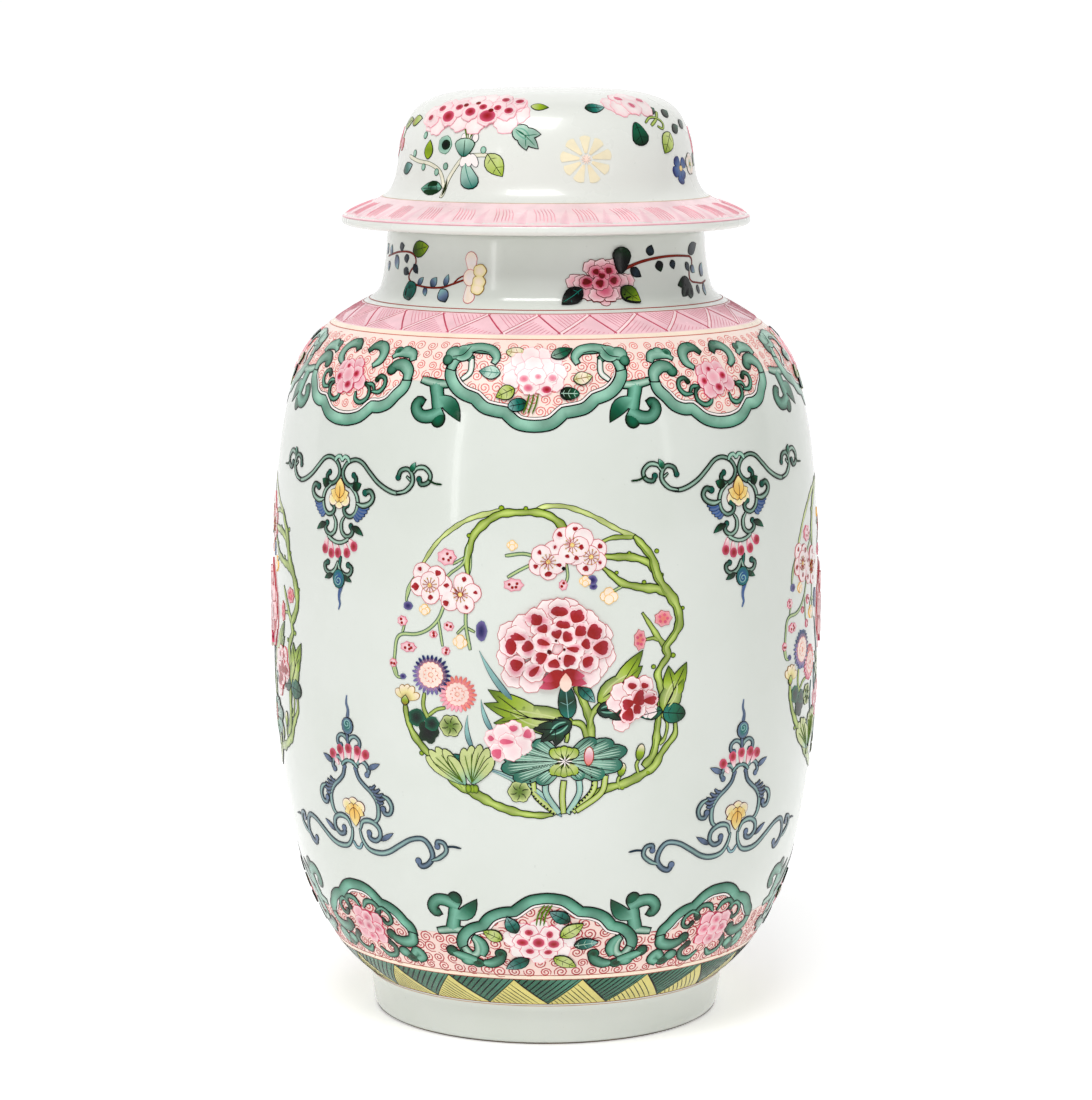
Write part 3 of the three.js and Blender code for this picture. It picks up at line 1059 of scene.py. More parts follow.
def shoulder_panels():
    p = Painter("upper", JAR)
    edge = UPPER_EDGE
    hoop(p.coat("ground"), jar_side, edge, upper_top, 0.10, "cream/blush/0.45", columns=900, rows=16)
    spiral_ground(p, lambda d: Spot(jar_side, d, 330), edge, upper_top, 2.9, "salmon/rose/0.35", 5.5, 0.5)
    for d in EVERY_QUARTER:
        upper_lappet_a(p, d)
        p.trefoil(Spot(jar_side, d, SHOULDER_AT, shift=40))
        p.trefoil(Spot(jar_side, d, SHOULDER_AT, mirror=-1, shift=-50))
    for d in EVERY_EIGHTH:
        upper_lappet_b(p, d)


# ---------------------------------------------------------------- the scroll panels above the foot


LOWER_EDGE = edge_from([
    (0.3, 89.5), (4.2, 88.5), (6.8, 85), (8.9, 81.5), (11.5, 81.5), (14.1, 79), (15.7, 75), (18.8, 71),
    (20.9, 68), (24.5, 69), (28.3, 68), (28.8, 71), (30.9, 76), (32.5, 80.5), (35.6, 81), (38.2, 85),
    (42.4, 86.5), (46.6, 85), (48.7, 82), (52.3, 79.5), (54.4, 76), (56, 73), (56.8, 68), (63, 69),
    (69.1, 68), (70.2, 69), (72.8, 73), (75.4, 76), (76.4, 80), (79.6, 82.5), (82.7, 82), (84.3, 85),
])


def lower_low(a):
    return np.full(np.shape(a), 45.8)


def lower_lappet_a(p, degrees):
    """A green border, curled down at its ends into clouds, round a white peony among leaves."""
    spot = Spot(jar_side, degrees, SKIRT_AT)
    dark, mid, pale, mint = "dark_green", "green", "pale_green", "mint"
    p.border(spot,
             [[(0.5, 27.8), (4, 27.4), (8.4, 26), (14.6, 20.8)],
              [(14.6, 20.8), (20, 20), (25, 17.4), (28.8, 12.6)],
              [(28.8, 12.6), (34, 10.6), (38, 6.6), (39.6, 2), (38.6, -2)]], 4.5, 0.5, -3.3)
    for s in (spot, spot.mirrored(0.5)):
        p.merged(s,
                 [("stroke", [(38.8, 0), (36, -4.4), (32.6, -2.4), (32.2, 2.6), (33.6, 5.6)],
                   (4.4, 3.6, 3.0, 2.6), (mid, mint)),
                  ("stroke", [(33.6, 6.4), (31, 4), (29.8, 0), (31, -4)], (3.4, 5.0, 5.0, 4.0), (mid, pale))],
                 level=1.5)
        p.merged(s,
                 [("stroke", [(34, -7.6), (40, -5.6), (45.6, -3.4)], (5.4, 5.0, 3.6), (mid, pale)),
                  ("disc", (45.2, -2.8), (2.6, 2.8), (mid, dark)),
                  ("disc", (38, -8), (3.4, 2.4), (pale, mid)),
                  ("disc", (33.4, -8.8), (2.8, 2.4), (dark, mid))], level=2.0)
        p.merged(s,
                 [("stroke", [(31.4, -8.8), (26.6, -8.6), (22.6, -6), (21, -2.8)], (3.4, 4.8, 5.0, 4.0),
                   (mid, pale, dark, mid)), ("disc", (21.8, -2.6), (2.4, 2.4), (dark, mid))], level=1.6)
    marks = [(-7.4, 10.4, 3.0, 2.6), (1.6, 9.4, 2.4, 3.0), (-10.4, 5, 4.2, 3.0), (-3.2, 5, 4.2, 4.0),
             (3.4, 4.2, 4.0, 3.4), (-7.2, 0, 3.0, 2.4), (1, -0.4, 3.0, 2.2)]
    blank = [(-15.4, 7), (-12.4, 11), (-3, 13.4), (6.6, 11), (10, 5.4), (7.4, -0.6), (-3.4, -3.4),
             (-12.6, -1)]
    p.petals_at(spot, (-3, 5), blank, 4.2, 0.6, ("petal_white", "petal_white"), "pink", inward=0.08,
                frill=0.12)
    p.petals_at(spot, (-3, 5), marks, 3.9, 3.6, ("pale_pink", "petal_white"), "rose", ("crimson", "rose"),
                -0.02, 0.1, 0.74, soft=True)
    lime = "lime pale_lime lime"
    p.leaf(spot, (-19.6, 6), (-27.4, 10), 5.8, "lime", lime, 6, "olive", "olive")
    p.leaf(spot, (-13, 10), (-16.6, 18), 5.8, "green", TEAL_LEAF, 6, vein="black_green")
    p.leaf(spot, (10, 16), (1.8, 21), 5.8, "green", TEAL_LEAF, 6, vein="black_green")
    p.leaf(spot, (6.6, 8), (15.8, 14.4), 6.4, "lime", lime, 6, "olive", "olive")
    p.leaf(spot, (12.8, 3), (23, 4.4), 5.6, "green", TEAL_LEAF, 6, vein="mint")
    p.leaf(spot, (3.8, -4), (14, -9.6), 6.0, "lime", lime, 6, "olive", "olive")
    p.leaf(spot, (-8, -5), (-18.6, -11), 6.0, "green", TEAL_LEAF, 6, vein="black_green")
    for x in (2.6, 1.0, -0.6):
        p.line(spot, [(x, 24.6), (x - 2.6, 19.6), (x - 3.6, 14)], 0.8, "deep_lime", 5)


def lower_lappet_b(p, degrees):
    """A green border whose ends turn up inside as scrolls, round a rosy flower among comma scrolls."""
    spot = Spot(jar_side, degrees, SKIRT_AT)
    dark, mid, pale = "dark_green", "green", "pale_green"
    p.border(spot,
             [[(-5, 24.8), (-1, 24.5), (3.4, 22.6), (8.4, 17.8)],
              [(8.4, 17.8), (13, 16.6), (16.8, 14), (19.6, 10.4)], [(19.6, 10.4), (22.4, 7.4), (23, 3.6)]],
             4.6, -5, -3.3)
    for s in (spot, spot.mirrored(-5)):
        p.merged(s,
                 [("stroke", [(23, 4.4), (21.8, 0.4), (17, -1.6), (12, -0.6), (9.6, 2.6)],
                   (4.6, 5.4, 5.6, 4.8, 3.4), (mid, pale, dark, mid)),
                  ("disc", (9.8, 1.4), (2.6, 2.6), (mid, dark))], level=1.4, rim=0.55)
        p.comma(s, [(4.4, 13.4), (8.4, 15.2), (12, 12.4), (12, 8.6), (9, 7.2), (7.2, 9)], 1.7, level=2.4)
        p.comma(s, [(-3.6, 13.6), (-1, 17), (3.4, 17.4), (6, 14.4), (4.6, 11.6)], 2.4, level=2.2)
        p.merged(s,
                 [("stroke", [(19.4, -8.6), (22.4, -5.8), (24.4, -9), (21, -11.4)], (4.4, 4.8, 4.4),
                   (mid, pale)), ("disc", (14.2, -8), (3.2, 2.8), (pale, mid)),
                  ("disc", (18, -10.6), (3.4, 2.4), (dark, mid))], level=1.4)
        p.comma(s, [(-2, -8.4), (2, -12), (7.4, -10.6), (9, -6.4), (6, -3)], 2.8, level=1.8)
    marks = [(-9, 4.6, 3.0, 2.4), (-3, 8.6, 2.8, 2.4), (2.4, 3.4, 2.8, 2.4), (-3.4, -1.6, 2.8, 2.2),
             (-8.4, 9.6), (3, 8.4), (2.4, -1.4), (-9, -0.6), (-3.2, 4, 2.4, 2.4)]
    p.petals_at(spot, (-3.2, 4), marks, 3.5, 3, ("pink", "pale_pink"), "rose", ("rose", "pink"), 0.0, 0.08,
                0.7, soft=True)


def foot_panels():
    p = Painter("lower", JAR)
    edge = LOWER_EDGE
    hoop(p.coat("ground"), jar_side, lower_low, edge, 0.10, "peach/blush/0.3", columns=900, rows=16)
    spiral_ground(p, lambda d: Spot(jar_side, d, 60), lower_low, edge, 3.3, "iron_red/rose/0.3", 6.0, 0.7)
    for d in EVERY_QUARTER:
        lower_lappet_a(p, d)
        p.trefoil(Spot(jar_side, d, SKIRT_KNOT_AT, shift=41), -1)
        p.trefoil(Spot(jar_side, d, SKIRT_KNOT_AT, mirror=-1, shift=-43), -1)
    for d in EVERY_EIGHTH:
        lower_lappet_b(p, d)


# ---------------------------------------------------------------- the scrollwork between the medallions


SCROLL = "dark_green mint dark_green dark_green/teal"
SLATE = "slate/black_green/0.7 pale_teal/mint grey_line slate"


def yellow_bud(p, spot, centre, upward):
    """Three pale lobes, and over them three amber petals that come to a point."""
    x, y = centre
    for dx, dy in ((-4.4, -3.4), (3.8, -3.2), (-0.2, -4.6)):
        p.dot(spot, (x + dx, y + dy * upward), (3.0, 2.7), "yellow", "pale_yellow", "cream", 1.6, "brown",
              0.24, 14)
    amber = "amber amber/pale_yellow/0.3 pale_yellow"
    for dx, dy, w in ((-6.2, 0.4, 5.0), (5.8, 0.4, 5.0), (-3.4, -3.0, 3.6), (3.2, -3.0, 3.6), (0, 6.2, 6.4)):
        p.leaf(spot, (x, y - 2.4 * upward), (x + dx, y + dy * upward), w, "yellow", amber,
               2.3 + 0.4 * (dx == 0), "brown", form="leaf", rim=0.34)
    p.line(spot, [(x, y - 3 * upward), (x + 0.3, y), (x, y + 3 * upward)], 0.35, "brown", 3.2, "hair")


def drops(p, spot, hung):
    """Pink drops, each with a crimson end, on thin stalks."""
    for (x, y), (u, v) in hung:
        p.petal(spot, (x, y), (u, v), 3.6, "rose", "petal_white pink rose", 1.4, "rose", form="petal",
                rim=0.16)
        p.dot(spot, (u + (x - u) * 0.2, v + (y - v) * 0.26), (2.0, 2.3), "crimson", "crimson", "rose", 2.4,
              None, steps=14)


def comb(p, spot, rows, tints):
    """A feather of short curved strokes on the outside of a scroll."""
    for k, (start, end) in enumerate(rows):
        sag = (end[0] * 0.5 + start[0] * 0.5, end[1] * 0.5 + start[1] * 0.5 - 0.7)
        p.ribbon(spot, [start, sag, end], 1.5, "blue", tints, 1.0 + 0.08 * k, "black_green", 0.2, (0.9, 0.3),
                 cols=2)


def green_scroll(p, spot, points, width, level):
    p.comma(spot, points, width, "green", SCROLL, level)


def slate_scroll(p, spot, points, width, level, head=1.25, rim=0.32):
    p.comma(spot, points, width, "blue", SLATE, level, "grey_line", head, rim)


def upper_pendant(p, degrees, dx, dy):
    """An open scrollwork hanging under each small panel, with a yellow bud at its heart."""
    spot = Spot(jar_side, degrees, HANGING_AT, shift=dx, rise=dy)
    for s in (spot, spot.mirrored(-4.5)):
        for scroll in (([(35, 37.6), (37.8, 35), (35, 31.5), (30, 30), (25, 31), (19, 34), (14, 38), (9, 42),
                         (4, 43), (-1, 41), (-3.4, 37), (-2, 33.4), (1.4, 31.2), (4.8, 31.8), (5.8, 34.4),
                         (4, 36)], 1.8, 1),
                       ([(30, 30), (34.6, 31.2), (38, 35), (37.5, 39), (35, 41), (31.6, 40), (30.4, 37)], 1.8,
                        1.7),
                       ([(38, 39), (40, 41.6), (44, 42), (47, 39), (46, 35.6), (42.6, 34.6), (41.4, 36.8)],
                        1.8, 1.8),):
            green_scroll(p, s, *scroll)
        p.line(s, [(46, 37), (49, 35.4), (53, 35)], 1.0, "dark_green", 1.8, ends=(1, 0.3))
        p.leaf(s, (37, 40), (39, 44), 2.6, "green", DARK_LEAF, 2.4, rim=0.25)
        green_scroll(p, s,
                     [(2, 31), (6, 28), (7.6, 24), (6.6, 19.6), (3.4, 17.2), (0, 18), (-1.2, 20.4),
                      (1, 22.4)], 1.8, 1.4)
        comb(p, s,
             [((7.4, 22.4), (14.6, 22)), ((7.4, 21.2), (13.6, 20.2)), ((7.2, 20), (12.2, 18.6)),
              ((6.6, 18.8), (10.6, 17.2)), ((5.8, 17.8), (8.8, 16))], "blue slate")
        green_scroll(p, s, [(7, 23.6), (11, 22.8), (15, 24.2), (16.8, 27), (15, 29.6), (12, 28.8)], 2.2, 2.2)
        p.leaf(s, (4.2, 30), (9, 32.4), 4.0, "green", INKY_LEAF, 2.4, rim=0.25)
        green_scroll(p, s, [(-0.5, 17), (-2.5, 14), (-2, 10), (1, 8), (4, 9), (5, 11), (3.8, 13)], 1.8, 1.3)
        p.leaf(s, (4.4, 12.6), (11.4, 9.4), 2.8, "green", INKY_LEAF, 2.2, rim=0.25, bend=0.6)
        green_scroll(p, s, [(-4.5, -4), (-2.5, -8), (1, -9.5), (4, -8.5), (4.8, -6), (2.6, -4.8)], 1.8, 1.3)
        p.leaf(s, (-1, -9.6), (4.6, -12.2), 2.6, "green", INKY_LEAF, 1.5, rim=0.25)
        p.ribbon(s, [(0.6, 41.4), (-0.6, 43.2), (-3, 43.8), (-4.4, 42)], 1.5, "green", "pale_green mint", 1.8,
                 rim=0.3)
    yellow_bud(p, spot, (-4.5, 27.6), 1)
    p.ribbon(spot, [(-12, 7.2), (-8, 5.4), (-4.5, 4.8), (-1, 5.4), (2.6, 7.2)], 1.5, "green",
             "dark_green mint", 1.5, rim=0.3)
    drops(p, spot,
          (((-12.4, 6.6), (-14.2, -0.8)), ((-9.4, 4.6), (-9, -2.2)), ((-5, 3.8), (-4.2, -1.2)),
           ((0.4, 4.8), (2, -0.8)), ((3, 6.8), (7, 3))))
    p.ribbon(spot, [(-2.6, -1.4), (-3, -4), (-3.8, -8)], 1.6, "green", "dark_green teal", 1.2, rim=0.3)
    p.dot(spot, (-3.6, -11.6), (3.8, 4.2), "blue", "blue", "teal", 2.2)
    ridge(p.coat("hair"), spot, coil((-3.6, -12.4), 2.6, 1.6, 90), 0.5, 0.62, "pale_teal")
    p.ribbon(spot, [(-1.6, -14.6), (-3.2, -18), (-3.4, -21), (-2.8, -23), (-3.8, -25.6)],
             (2.2, 1.4, 0.9, 0.5), "blue", "slate blue", 1.2, "slate", 0.15)


def lower_pendant(p, degrees, dx, dy):
    """Its answer from below: a yellow flower in a bell of scrolls on long curling arms."""
    spot = Spot(jar_side, degrees, RISING_AT, shift=dx, rise=dy)
    for s in (spot, spot.mirrored(-2)):
        slate_scroll(p, s, [(0, 33.2), (2, 33), (5, 35), (8, 34), (9.6, 31), (8.4, 29)], 1.9, 1.2)
        p.leaf(s, (9.4, 32), (16, 35), 2.4, "green", "grey_line slate slate", 1.9, rim=0.25)
        slate_scroll(p, s, [(8, 6), (12, 8), (13.5, 12), (13, 17), (10, 21), (6, 24), (3, 27), (1.6, 31)],
                     2.1, 1.0, 1.0)
        comb(p, s,
             [((9.4, 23), (12.6, 24.6)), ((10.6, 21.8), (15, 23)), ((11.8, 20.4), (17, 21)),
              ((12.8, 18.8), (17.6, 19)), ((13.4, 17.2), (16.6, 17))], "grey_line slate")
        for scroll in (([(16.6, 20.4), (19.6, 18.8), (21.2, 15.6), (20, 12.2), (17.2, 11.8), (16.4, 14)], 2.0,
                        2.4),
                       ([(1, 2), (3, 6), (8, 7), (12.4, 4.6), (13, 0.4), (10, -2.2), (6.6, -1.4), (6.4, 1)],
                        2.2, 1.3),
                       ([(0.4, 2), (1.6, -3), (5, -7), (11, -8), (17, -6.6), (24, -2.4), (30, 1), (36, 2),
                         (39.4, -1), (40.6, -6), (38, -10), (34.4, -11.4), (33, -9)], 2.3, 1.1),
                       ([(40, -8), (44, -6.4), (47.6, -3), (46.8, 0.8), (43.6, 1.4), (43.4, -1)], 1.9, 1.8),):
            slate_scroll(p, s, *scroll)
        p.line(s, [(47, -1), (51, -0.4), (55, -1)], 1.1, "grey_line", 1.2, ends=(1, 0.2))
        p.leaf(s, (13.4, -1.6), (20.6, 2.8), 2.2, "green", "grey_line slate slate", 2.0, rim=0.25)
        slate_scroll(p, s, [(-2, 42), (-0.6, 45), (2.4, 46), (4.8, 44.4), (4.8, 41.8), (3, 41)], 1.7, 1.3,
                     rim=0.3)
    drops(p, spot,
          (((-9.4, 31.4), (-14, 38)), ((-6.2, 33.4), (-8, 41)), ((-2, 34.6), (-2.2, 42)),
           ((2, 33.6), (4, 42)), ((4.4, 34.4), (9.4, 40))))
    p.ribbon(spot, [(-7, 31.6), (-5, 33.6), (-2, 34.4), (1, 33.6), (3, 31.6)], 1.5, "blue",
             "grey_line pale_teal", 1.9, rim=0.25)
    p.ribbon(spot, [(-5, -4.6), (-3.4, -7), (-2, -7.4), (-0.6, -7), (1, -4.6)], 1.2, "blue",
             "slate pale_teal", 0.9, "grey_line", 0.22)
    yellow_bud(p, spot, (-1.6, 9.6), -1)
    p.ribbon(spot, [(-2, 42), (-2.4, 46), (-2, 49)], 1.5, "blue", "grey_line slate", 1.8, "grey_line",
             rim=0.25)
    p.dot(spot, (-2, 50.6), (3.4, 3.8), "blue", "teal", "slate", 2.2)
    ridge(p.coat("hair"), spot, coil((-2, 51.6), 2.4, 1.6, 270), 0.5, 0.62, "pale_teal")
    p.ribbon(spot, [(-2, 54), (-1.4, 58), (-2.4, 61), (-2, 64.6)], (2.0, 1.3, 0.9, 0.5), "blue",
             "grey_line slate", 1.2, "slate", 0.15)


HUNG = ((45, 0.0, 0.0), (135, 1.2, -0.8), (225, -0.8, 0.6), (315, 0.0, -2.0))
STOOD = ((45, 0.0, 0.0), (135, -1.0, 0.6), (225, 0.9, -0.5), (315, 3.0, 1.7))


def scrollwork():
    above, below = Painter("hanging", JAR), Painter("rising", JAR)
    for place in HUNG:
        upper_pendant(above, *place)
    for place in STOOD:
        lower_pendant(below, *place)


# ---------------------------------------------------------------- the round flower panels


def medallion_frame(p, spot):
    """The wreath of branches that makes the round."""
    thin = "pale_lime/lime pale_lime"
    for branch in (([(-57, 12), (-50, 22), (-42, 29), (-33, 34), (-20, 37.5)], (1.3, 1.6, 2.0), 0, 0.3, thin),
                   ([(-5, 37.8), (0, 39.5), (8, 39.5), (15, 37.5), (22, 34.5), (30, 30), (36, 27),
                     (40, 25.5)], (1.6, 2.0), 0, 0.3, thin),
                   ([(24, 23), (30, 25.2), (40, 25.2)], (1.3, 1.9), 0.1, 0.3),
                   ([(-35, 8), (-35.6, 15), (-34, 22), (-32, 27), (-27, 32), (-20, 36), (-10, 36.8),
                     (-4, 36.8), (1, 35.6), (5, 33), (8.4, 29.6)], (1.6, 2.6, 3.0, 2.8, 2.4, 2.8, 3.2), 0.4),
                   ([(26, 17), (31, 16.6), (37, 16.4), (42, 15.4), (47, 13), (49.4, 10)],
                    (2, 3.0, 2.6, 2.8, 3.6), 0.5),
                   ([(25.6, 12), (29, 9), (34, 5), (40, 3.2), (46, 2), (51, 1.5), (55, -1)],
                    (1.8, 2.4, 2.8, 3.2, 4), 0.6),
                   ([(40, 25.5), (44, 21), (48, 16), (49.4, 12), (51, 7), (54, 2), (58, -3), (61, -9),
                     (61.6, -15), (59, -20), (55, -25), (56, -29), (53, -33), (51, -37), (52, -41), (53, -47),
                     (52, -54)], (2.2, 3.2, 3.4, 4.0, 3.4, 3.0, 2.4, 2.8, 2.4), 0.8),
                   ([(52, -54), (51, -62), (50.6, -68), (49, -74), (45, -78.6)], (2.4, 2.8, 3.2), 0.7),
                   ([(43.6, -9), (47, -14), (51, -20), (55.4, -25.6)], (1.2, 2.0, 2.8), 0.7, 0.3),
                   ([(45.5, -21), (49, -20.6), (51.5, -21.6)], (1.2, 1.4), 0.5, 0.3),
                   ([(60, -59), (60, -65), (56, -70), (53, -74), (50, -79), (44, -82.6), (36, -86), (28, -88),
                     (20, -92), (13, -97)], (1.8, 2.2, 3.0, 3.6, 3.2, 2.8, 2.2), 0.5),
                   ([(53, -55), (56, -60), (55, -66), (52.6, -69)], (1.0, 1.3), 0.3, 0.3),
                   ([(-66, -51), (-65, -58), (-62, -65), (-58, -70), (-55, -73), (-50, -77), (-45, -83),
                     (-40, -87), (-35, -89.5), (-30, -92), (-22, -96), (-12, -99), (-3, -100), (3, -99.6)],
                    (1.6, 2.4, 3.0, 3.0, 3.8, 3.4, 2.6, 1.8), 0.5),
                   ([(-52, -76), (-46, -79), (-42, -83), (-38, -88)], (1.4, 2.2, 2.4), 0.7, 0.3),):
        p.branch(spot, *branch)
    for k, (x, y, r) in enumerate(((50.6, 18.4, 1.4), (37.5, 18.0, 1.3), (44.4, 4.8, 1.3), (31.6, 9.6, 1.1),
            (52.8, 7.6, 1.4), (-20, 38.6, 1.6), (-34.6, 26, 1.4), (-36.6, 16, 1.1), (-9, 38.6, 1.2),
            (58.6, -29, 1.6), (49, -33.5, 1.4), (47, -81.6, 1.5), (63.4, -8, 1.2), (52.4, -66, 1.2),
            (-58, -73.6, 1.5), (-26, -95, 1.3), (35, -88, 1.4))):
        p.dot(spot, (x, y), (r * 0.74, r * 0.66), "lime", "lime", "deep_lime", 0.02 + 0.02 * k, "olive", 0.25,
              8)


def medallion_twigs(p, spot):
    tw = "deep_lime/pale_green pale_lime"
    for points, w in (([(-46, -5), (-49, -12), (-54, -17), (-60, -19.5), (-67, -20), (-70, -22.5), (-71, -28),
                        (-71.4, -34), (-70, -39)], 1.3), ([(-67, -19), (-66, -16)], 1.0),
                      ([(-36, -8), (-36, -14), (-35, -20), (-34, -25)], 1.3), ([(-36, -14), (-40, -18)], 1.0),
                      ([(-36, -15), (-32, -17)], 1.0), ([(-49, -12), (-48, -18), (-47, -24)], 1.0),
                      ([(-62, 4), (-65, -4)], 1.1), ([(-57, 12), (-60, 7), (-64, 1), (-65, -5)], 1.0),
                      ([(-18, 17.5), (-10, 18.5), (-4, 17)], 1.3), ([(-17, 8), (-12, 11), (-6, 14)], 1.2),
                      ([(9, 14), (9.6, 9), (9, 6)], 1.0), ([(36, 4.4), (30, 1.4)], 1.1),
                      ([(-35, 22), (-37, 14), (-43, 9), (-46, 6)], 1.1),
                      ([(-34, 20), (-34, 12), (-35.4, 7)], 1.0), ([(-42, 13), (-37, 16)], 1.0),
                      ([(16, 11), (17, 8.6), (20, 6)], 1.0), ([(-73, -33), (-70.6, -39), (-67, -40)], 1.0),):
        p.ribbon(spot, points, w, "lime", tw, 0.2, "olive", 0.22, cols=2)


def medallion_prunus(p, spot):
    blush = {"tints": ("petal_white", "blush"), "mark": 0.52, "blotch": ("crimson", "rose"), "frill": 0.03}
    left = [(-58, 10, 3, 2.4), (-49, 8.6, 3.6, 3), (-60, 2, 4, 4), (-52.6, -2.4, 3, 2.6), (-45, 3.4, 3, 2.4),
            (-53, 5)]
    p.petals_at(spot, (-53, 3), left, 4.3, 1, **blush)
    lower = [(-36.6, 6.4, 2.6, 2.6), (-31.4, 0.8, 2.4, 2), (-35.6, -6, 3, 2.4), (-45, -4.6, 3, 3.4),
             (-47, -0.6)]
    p.petals_at(spot, (-38, -0.6), lower, 4.2, 1.2, **blush)
    middle = [(-3, 19, 2.6, 2.4), (4, 21.6, 2.4, 2.4), (-4.6, 13, 2.8, 2.2), (1.2, 9.6, 4, 2.6),
              (5.6, 13.6, 3, 1.8)]
    p.petals_at(spot, (1, 15), middle, 4.1, 1, **blush)
    top = [(6, 27, 3.2, 3), (13, 29.6, 2.8, 2.2), (15.6, 21.4, 2.4, 2.8), (9.4, 17.4, 2.6, 2), (18, 26),
           (13.4, 16.6, 2.4, 2.8)]
    p.petals_at(spot, (12, 22.4), top, 4.2, 1.3, **blush)
    right = [(24, 21.6, 3, 2.4), (24, 14.4, 2.2, 2.8), (17.6, 12, 3, 2.8), (19.6, 18)]
    p.petals_at(spot, (19, 17), right, 4.1, 1.5, **blush)
    for c in ((-53, 3), (-38.4, -0.4), (1, 15), (11.6, 22.4), (20, 17)):
        for k in range(11):
            a = 2 * math.pi * k / 11 + 0.2
            far = (c[0] + 3.2 * math.cos(a), c[1] + 3.2 * math.sin(a))
            p.line(spot, [c, ((c[0] + far[0]) / 2, (c[1] + far[1]) / 2), far], 0.26, "iron_red", 4.6, "hair")
            p.dot(spot, far, 0.34, "yellow", "amber", "ochre", 5.0, None, steps=6)
        p.dot(spot, c, 1.0, "yellow", "pale_yellow", "amber", 5.2, None, steps=9)
    p.dot(spot, (7.8, 12), 0.9, "ink", "black_green", level=4.8, line=None, steps=8)
    for x, y, w, h in ((-45, 16, 4.2, 3.4), (-14.4, 4.6, 4.2, 2.6), (-67, -14, 2.3, 2),
                       (-64, -25.6, 3.8, 2.1), (-45.4, -26.2, 1.8, 1.7), (-44, -15, 2.2, 1.9),
                       (-51.4, -19, 1.7, 1.4), (-72, -33.4, 1.7, 1.8), (7.6, 4.6, 1.7, 2.1)):
        p.dot(spot, (x, y), (w, h), "rose", "pale_pink", "pink", 1.6, "rose", 0.18, 14, frill=0.1, waves=7)
        for k in range(4 if w > 3 else 2):
            a = 2.4 * k + x
            p.dot(spot, (x + w * 0.45 * math.cos(a), y + h * 0.45 * math.sin(a)), 0.7, "crimson", "crimson",
                  level=2.6, line=None, steps=7)
    for x, y, w, h in ((53.6, -12, 4, 3.4), (42.4, -21, 2.6, 4.4)):
        p.dot(spot, (x, y), (w, h), "rose", "salmon", "pink", 1.6, "iron_red", 0.2, 14, frill=0.1, waves=7)
        for k in range(5):
            a = 1.3 * k
            p.dot(spot, (x + w * 0.5 * math.cos(a), y + h * 0.5 * math.sin(a)), 0.7, "crimson", "rose",
                  level=2.6, line=None, steps=7)
    for x, y, w, h in ((-28.8, -16.4, 2.4, 4.4), (-64, -7, 2.2, 1.7), (20.6, 6.6, 2.0, 2.0),
                       (21, 3.8, 1.6, 1.3), (-66.8, -39.2, 1.4, 1.1)):
        p.dot(spot, (x, y), (w, h), "blue", "navy", "violet", 1.6, "slate", 0.2, 12, frill=0.06)
    for x, y, w in ((-55.6, -8.4, 1.9), (-38.6, -22, 2.4), (-15, 22, 1.7), (28, -1, 2.9), (17.4, 6, 1.9)):
        p.petals_at(spot, (x, y), [(x + w, y), (x - w, y + 0.4), (x, y + w), (x, y - w * 0.6)], w * 0.66,
                    1.4, ("cream", "cream"), "amber", inward=0.34)


def great_peony(p, spot):
    """The big white flower, a crimson mark on every petal."""
    marks = [(6, -6.8, 6, 3), (13.4, -9.2, 5, 4), (-4, -10.6, 7, 3), (-1.4, -14.6, 4.4, 2.8),
             (7.6, -12.6, 4.6, 2.4), (15, -16, 3.2, 5), (21.2, -16.4, 4.6, 5), (-12.6, -18.6, 6, 2.4),
             (-15.4, -22.6, 3.4, 5.4), (-7.8, -23.2, 3.4, 4.8), (-1, -21, 4, 3.8), (4.8, -17, 3.2, 3),
             (9.4, -18.2, 3.6, 3.4), (12.2, -23.6, 4.6, 2.4), (17.6, -21.6, 3, 3.4), (24.2, -23.6, 5, 5),
             (-13, -31.6, 4.4, 5.6), (-5, -33.4, 4.6, 3.6), (-2, -27.6, 4.2, 3.4), (3.6, -30.4, 4, 3),
             (10, -28.6, 4.4, 3.4), (18.4, -29.8, 3.2, 4.6)]
    blank = [(-11, -13), (1, -6), (19, -11), (26, -18), (28, -28), (24, -33), (-18, -17),
             (-19, -28), (-16, -37), (-8, -40), (20, -37), (10, -5)]
    p.petals_at(spot, (6, -23), blank, 5.4, 0.6, inward=0.1, frill=0.08)
    p.dot(spot, (6, -23), (9, 7), "rose", "pale_pink", "petal_white", 2.6, None)
    p.petals_at(spot, (6, -23), marks, 4.6, 3.4, inward=-0.03, frill=0.09, mark=0.84)
    for tip, bend in (((-3, -41.4), 1.5), ((-1.6, -37.8), 0.8), ((18, -39.6), -1.0), ((17, -36), -0.8)):
        p.petal(spot, (7.4, -34), tip, 6.0, "crimson", "crimson crimson rose", 12.6, None, bend=bend,
                form="leaf")
    p.leaf(spot, (8.6, -43), (8.6, -34.6), 5.4, "ground", "peach peach salmon/peach", 13.4,
           None, form="leaf")
    for x, y, r in ((4.4, -20, 0.6), (8, -24, 0.65), (1.4, -25, 1.0), (6, -28, 0.5)):
        p.dot(spot, (x, y), r, "ink", "brown", level=13, line=None, steps=7)


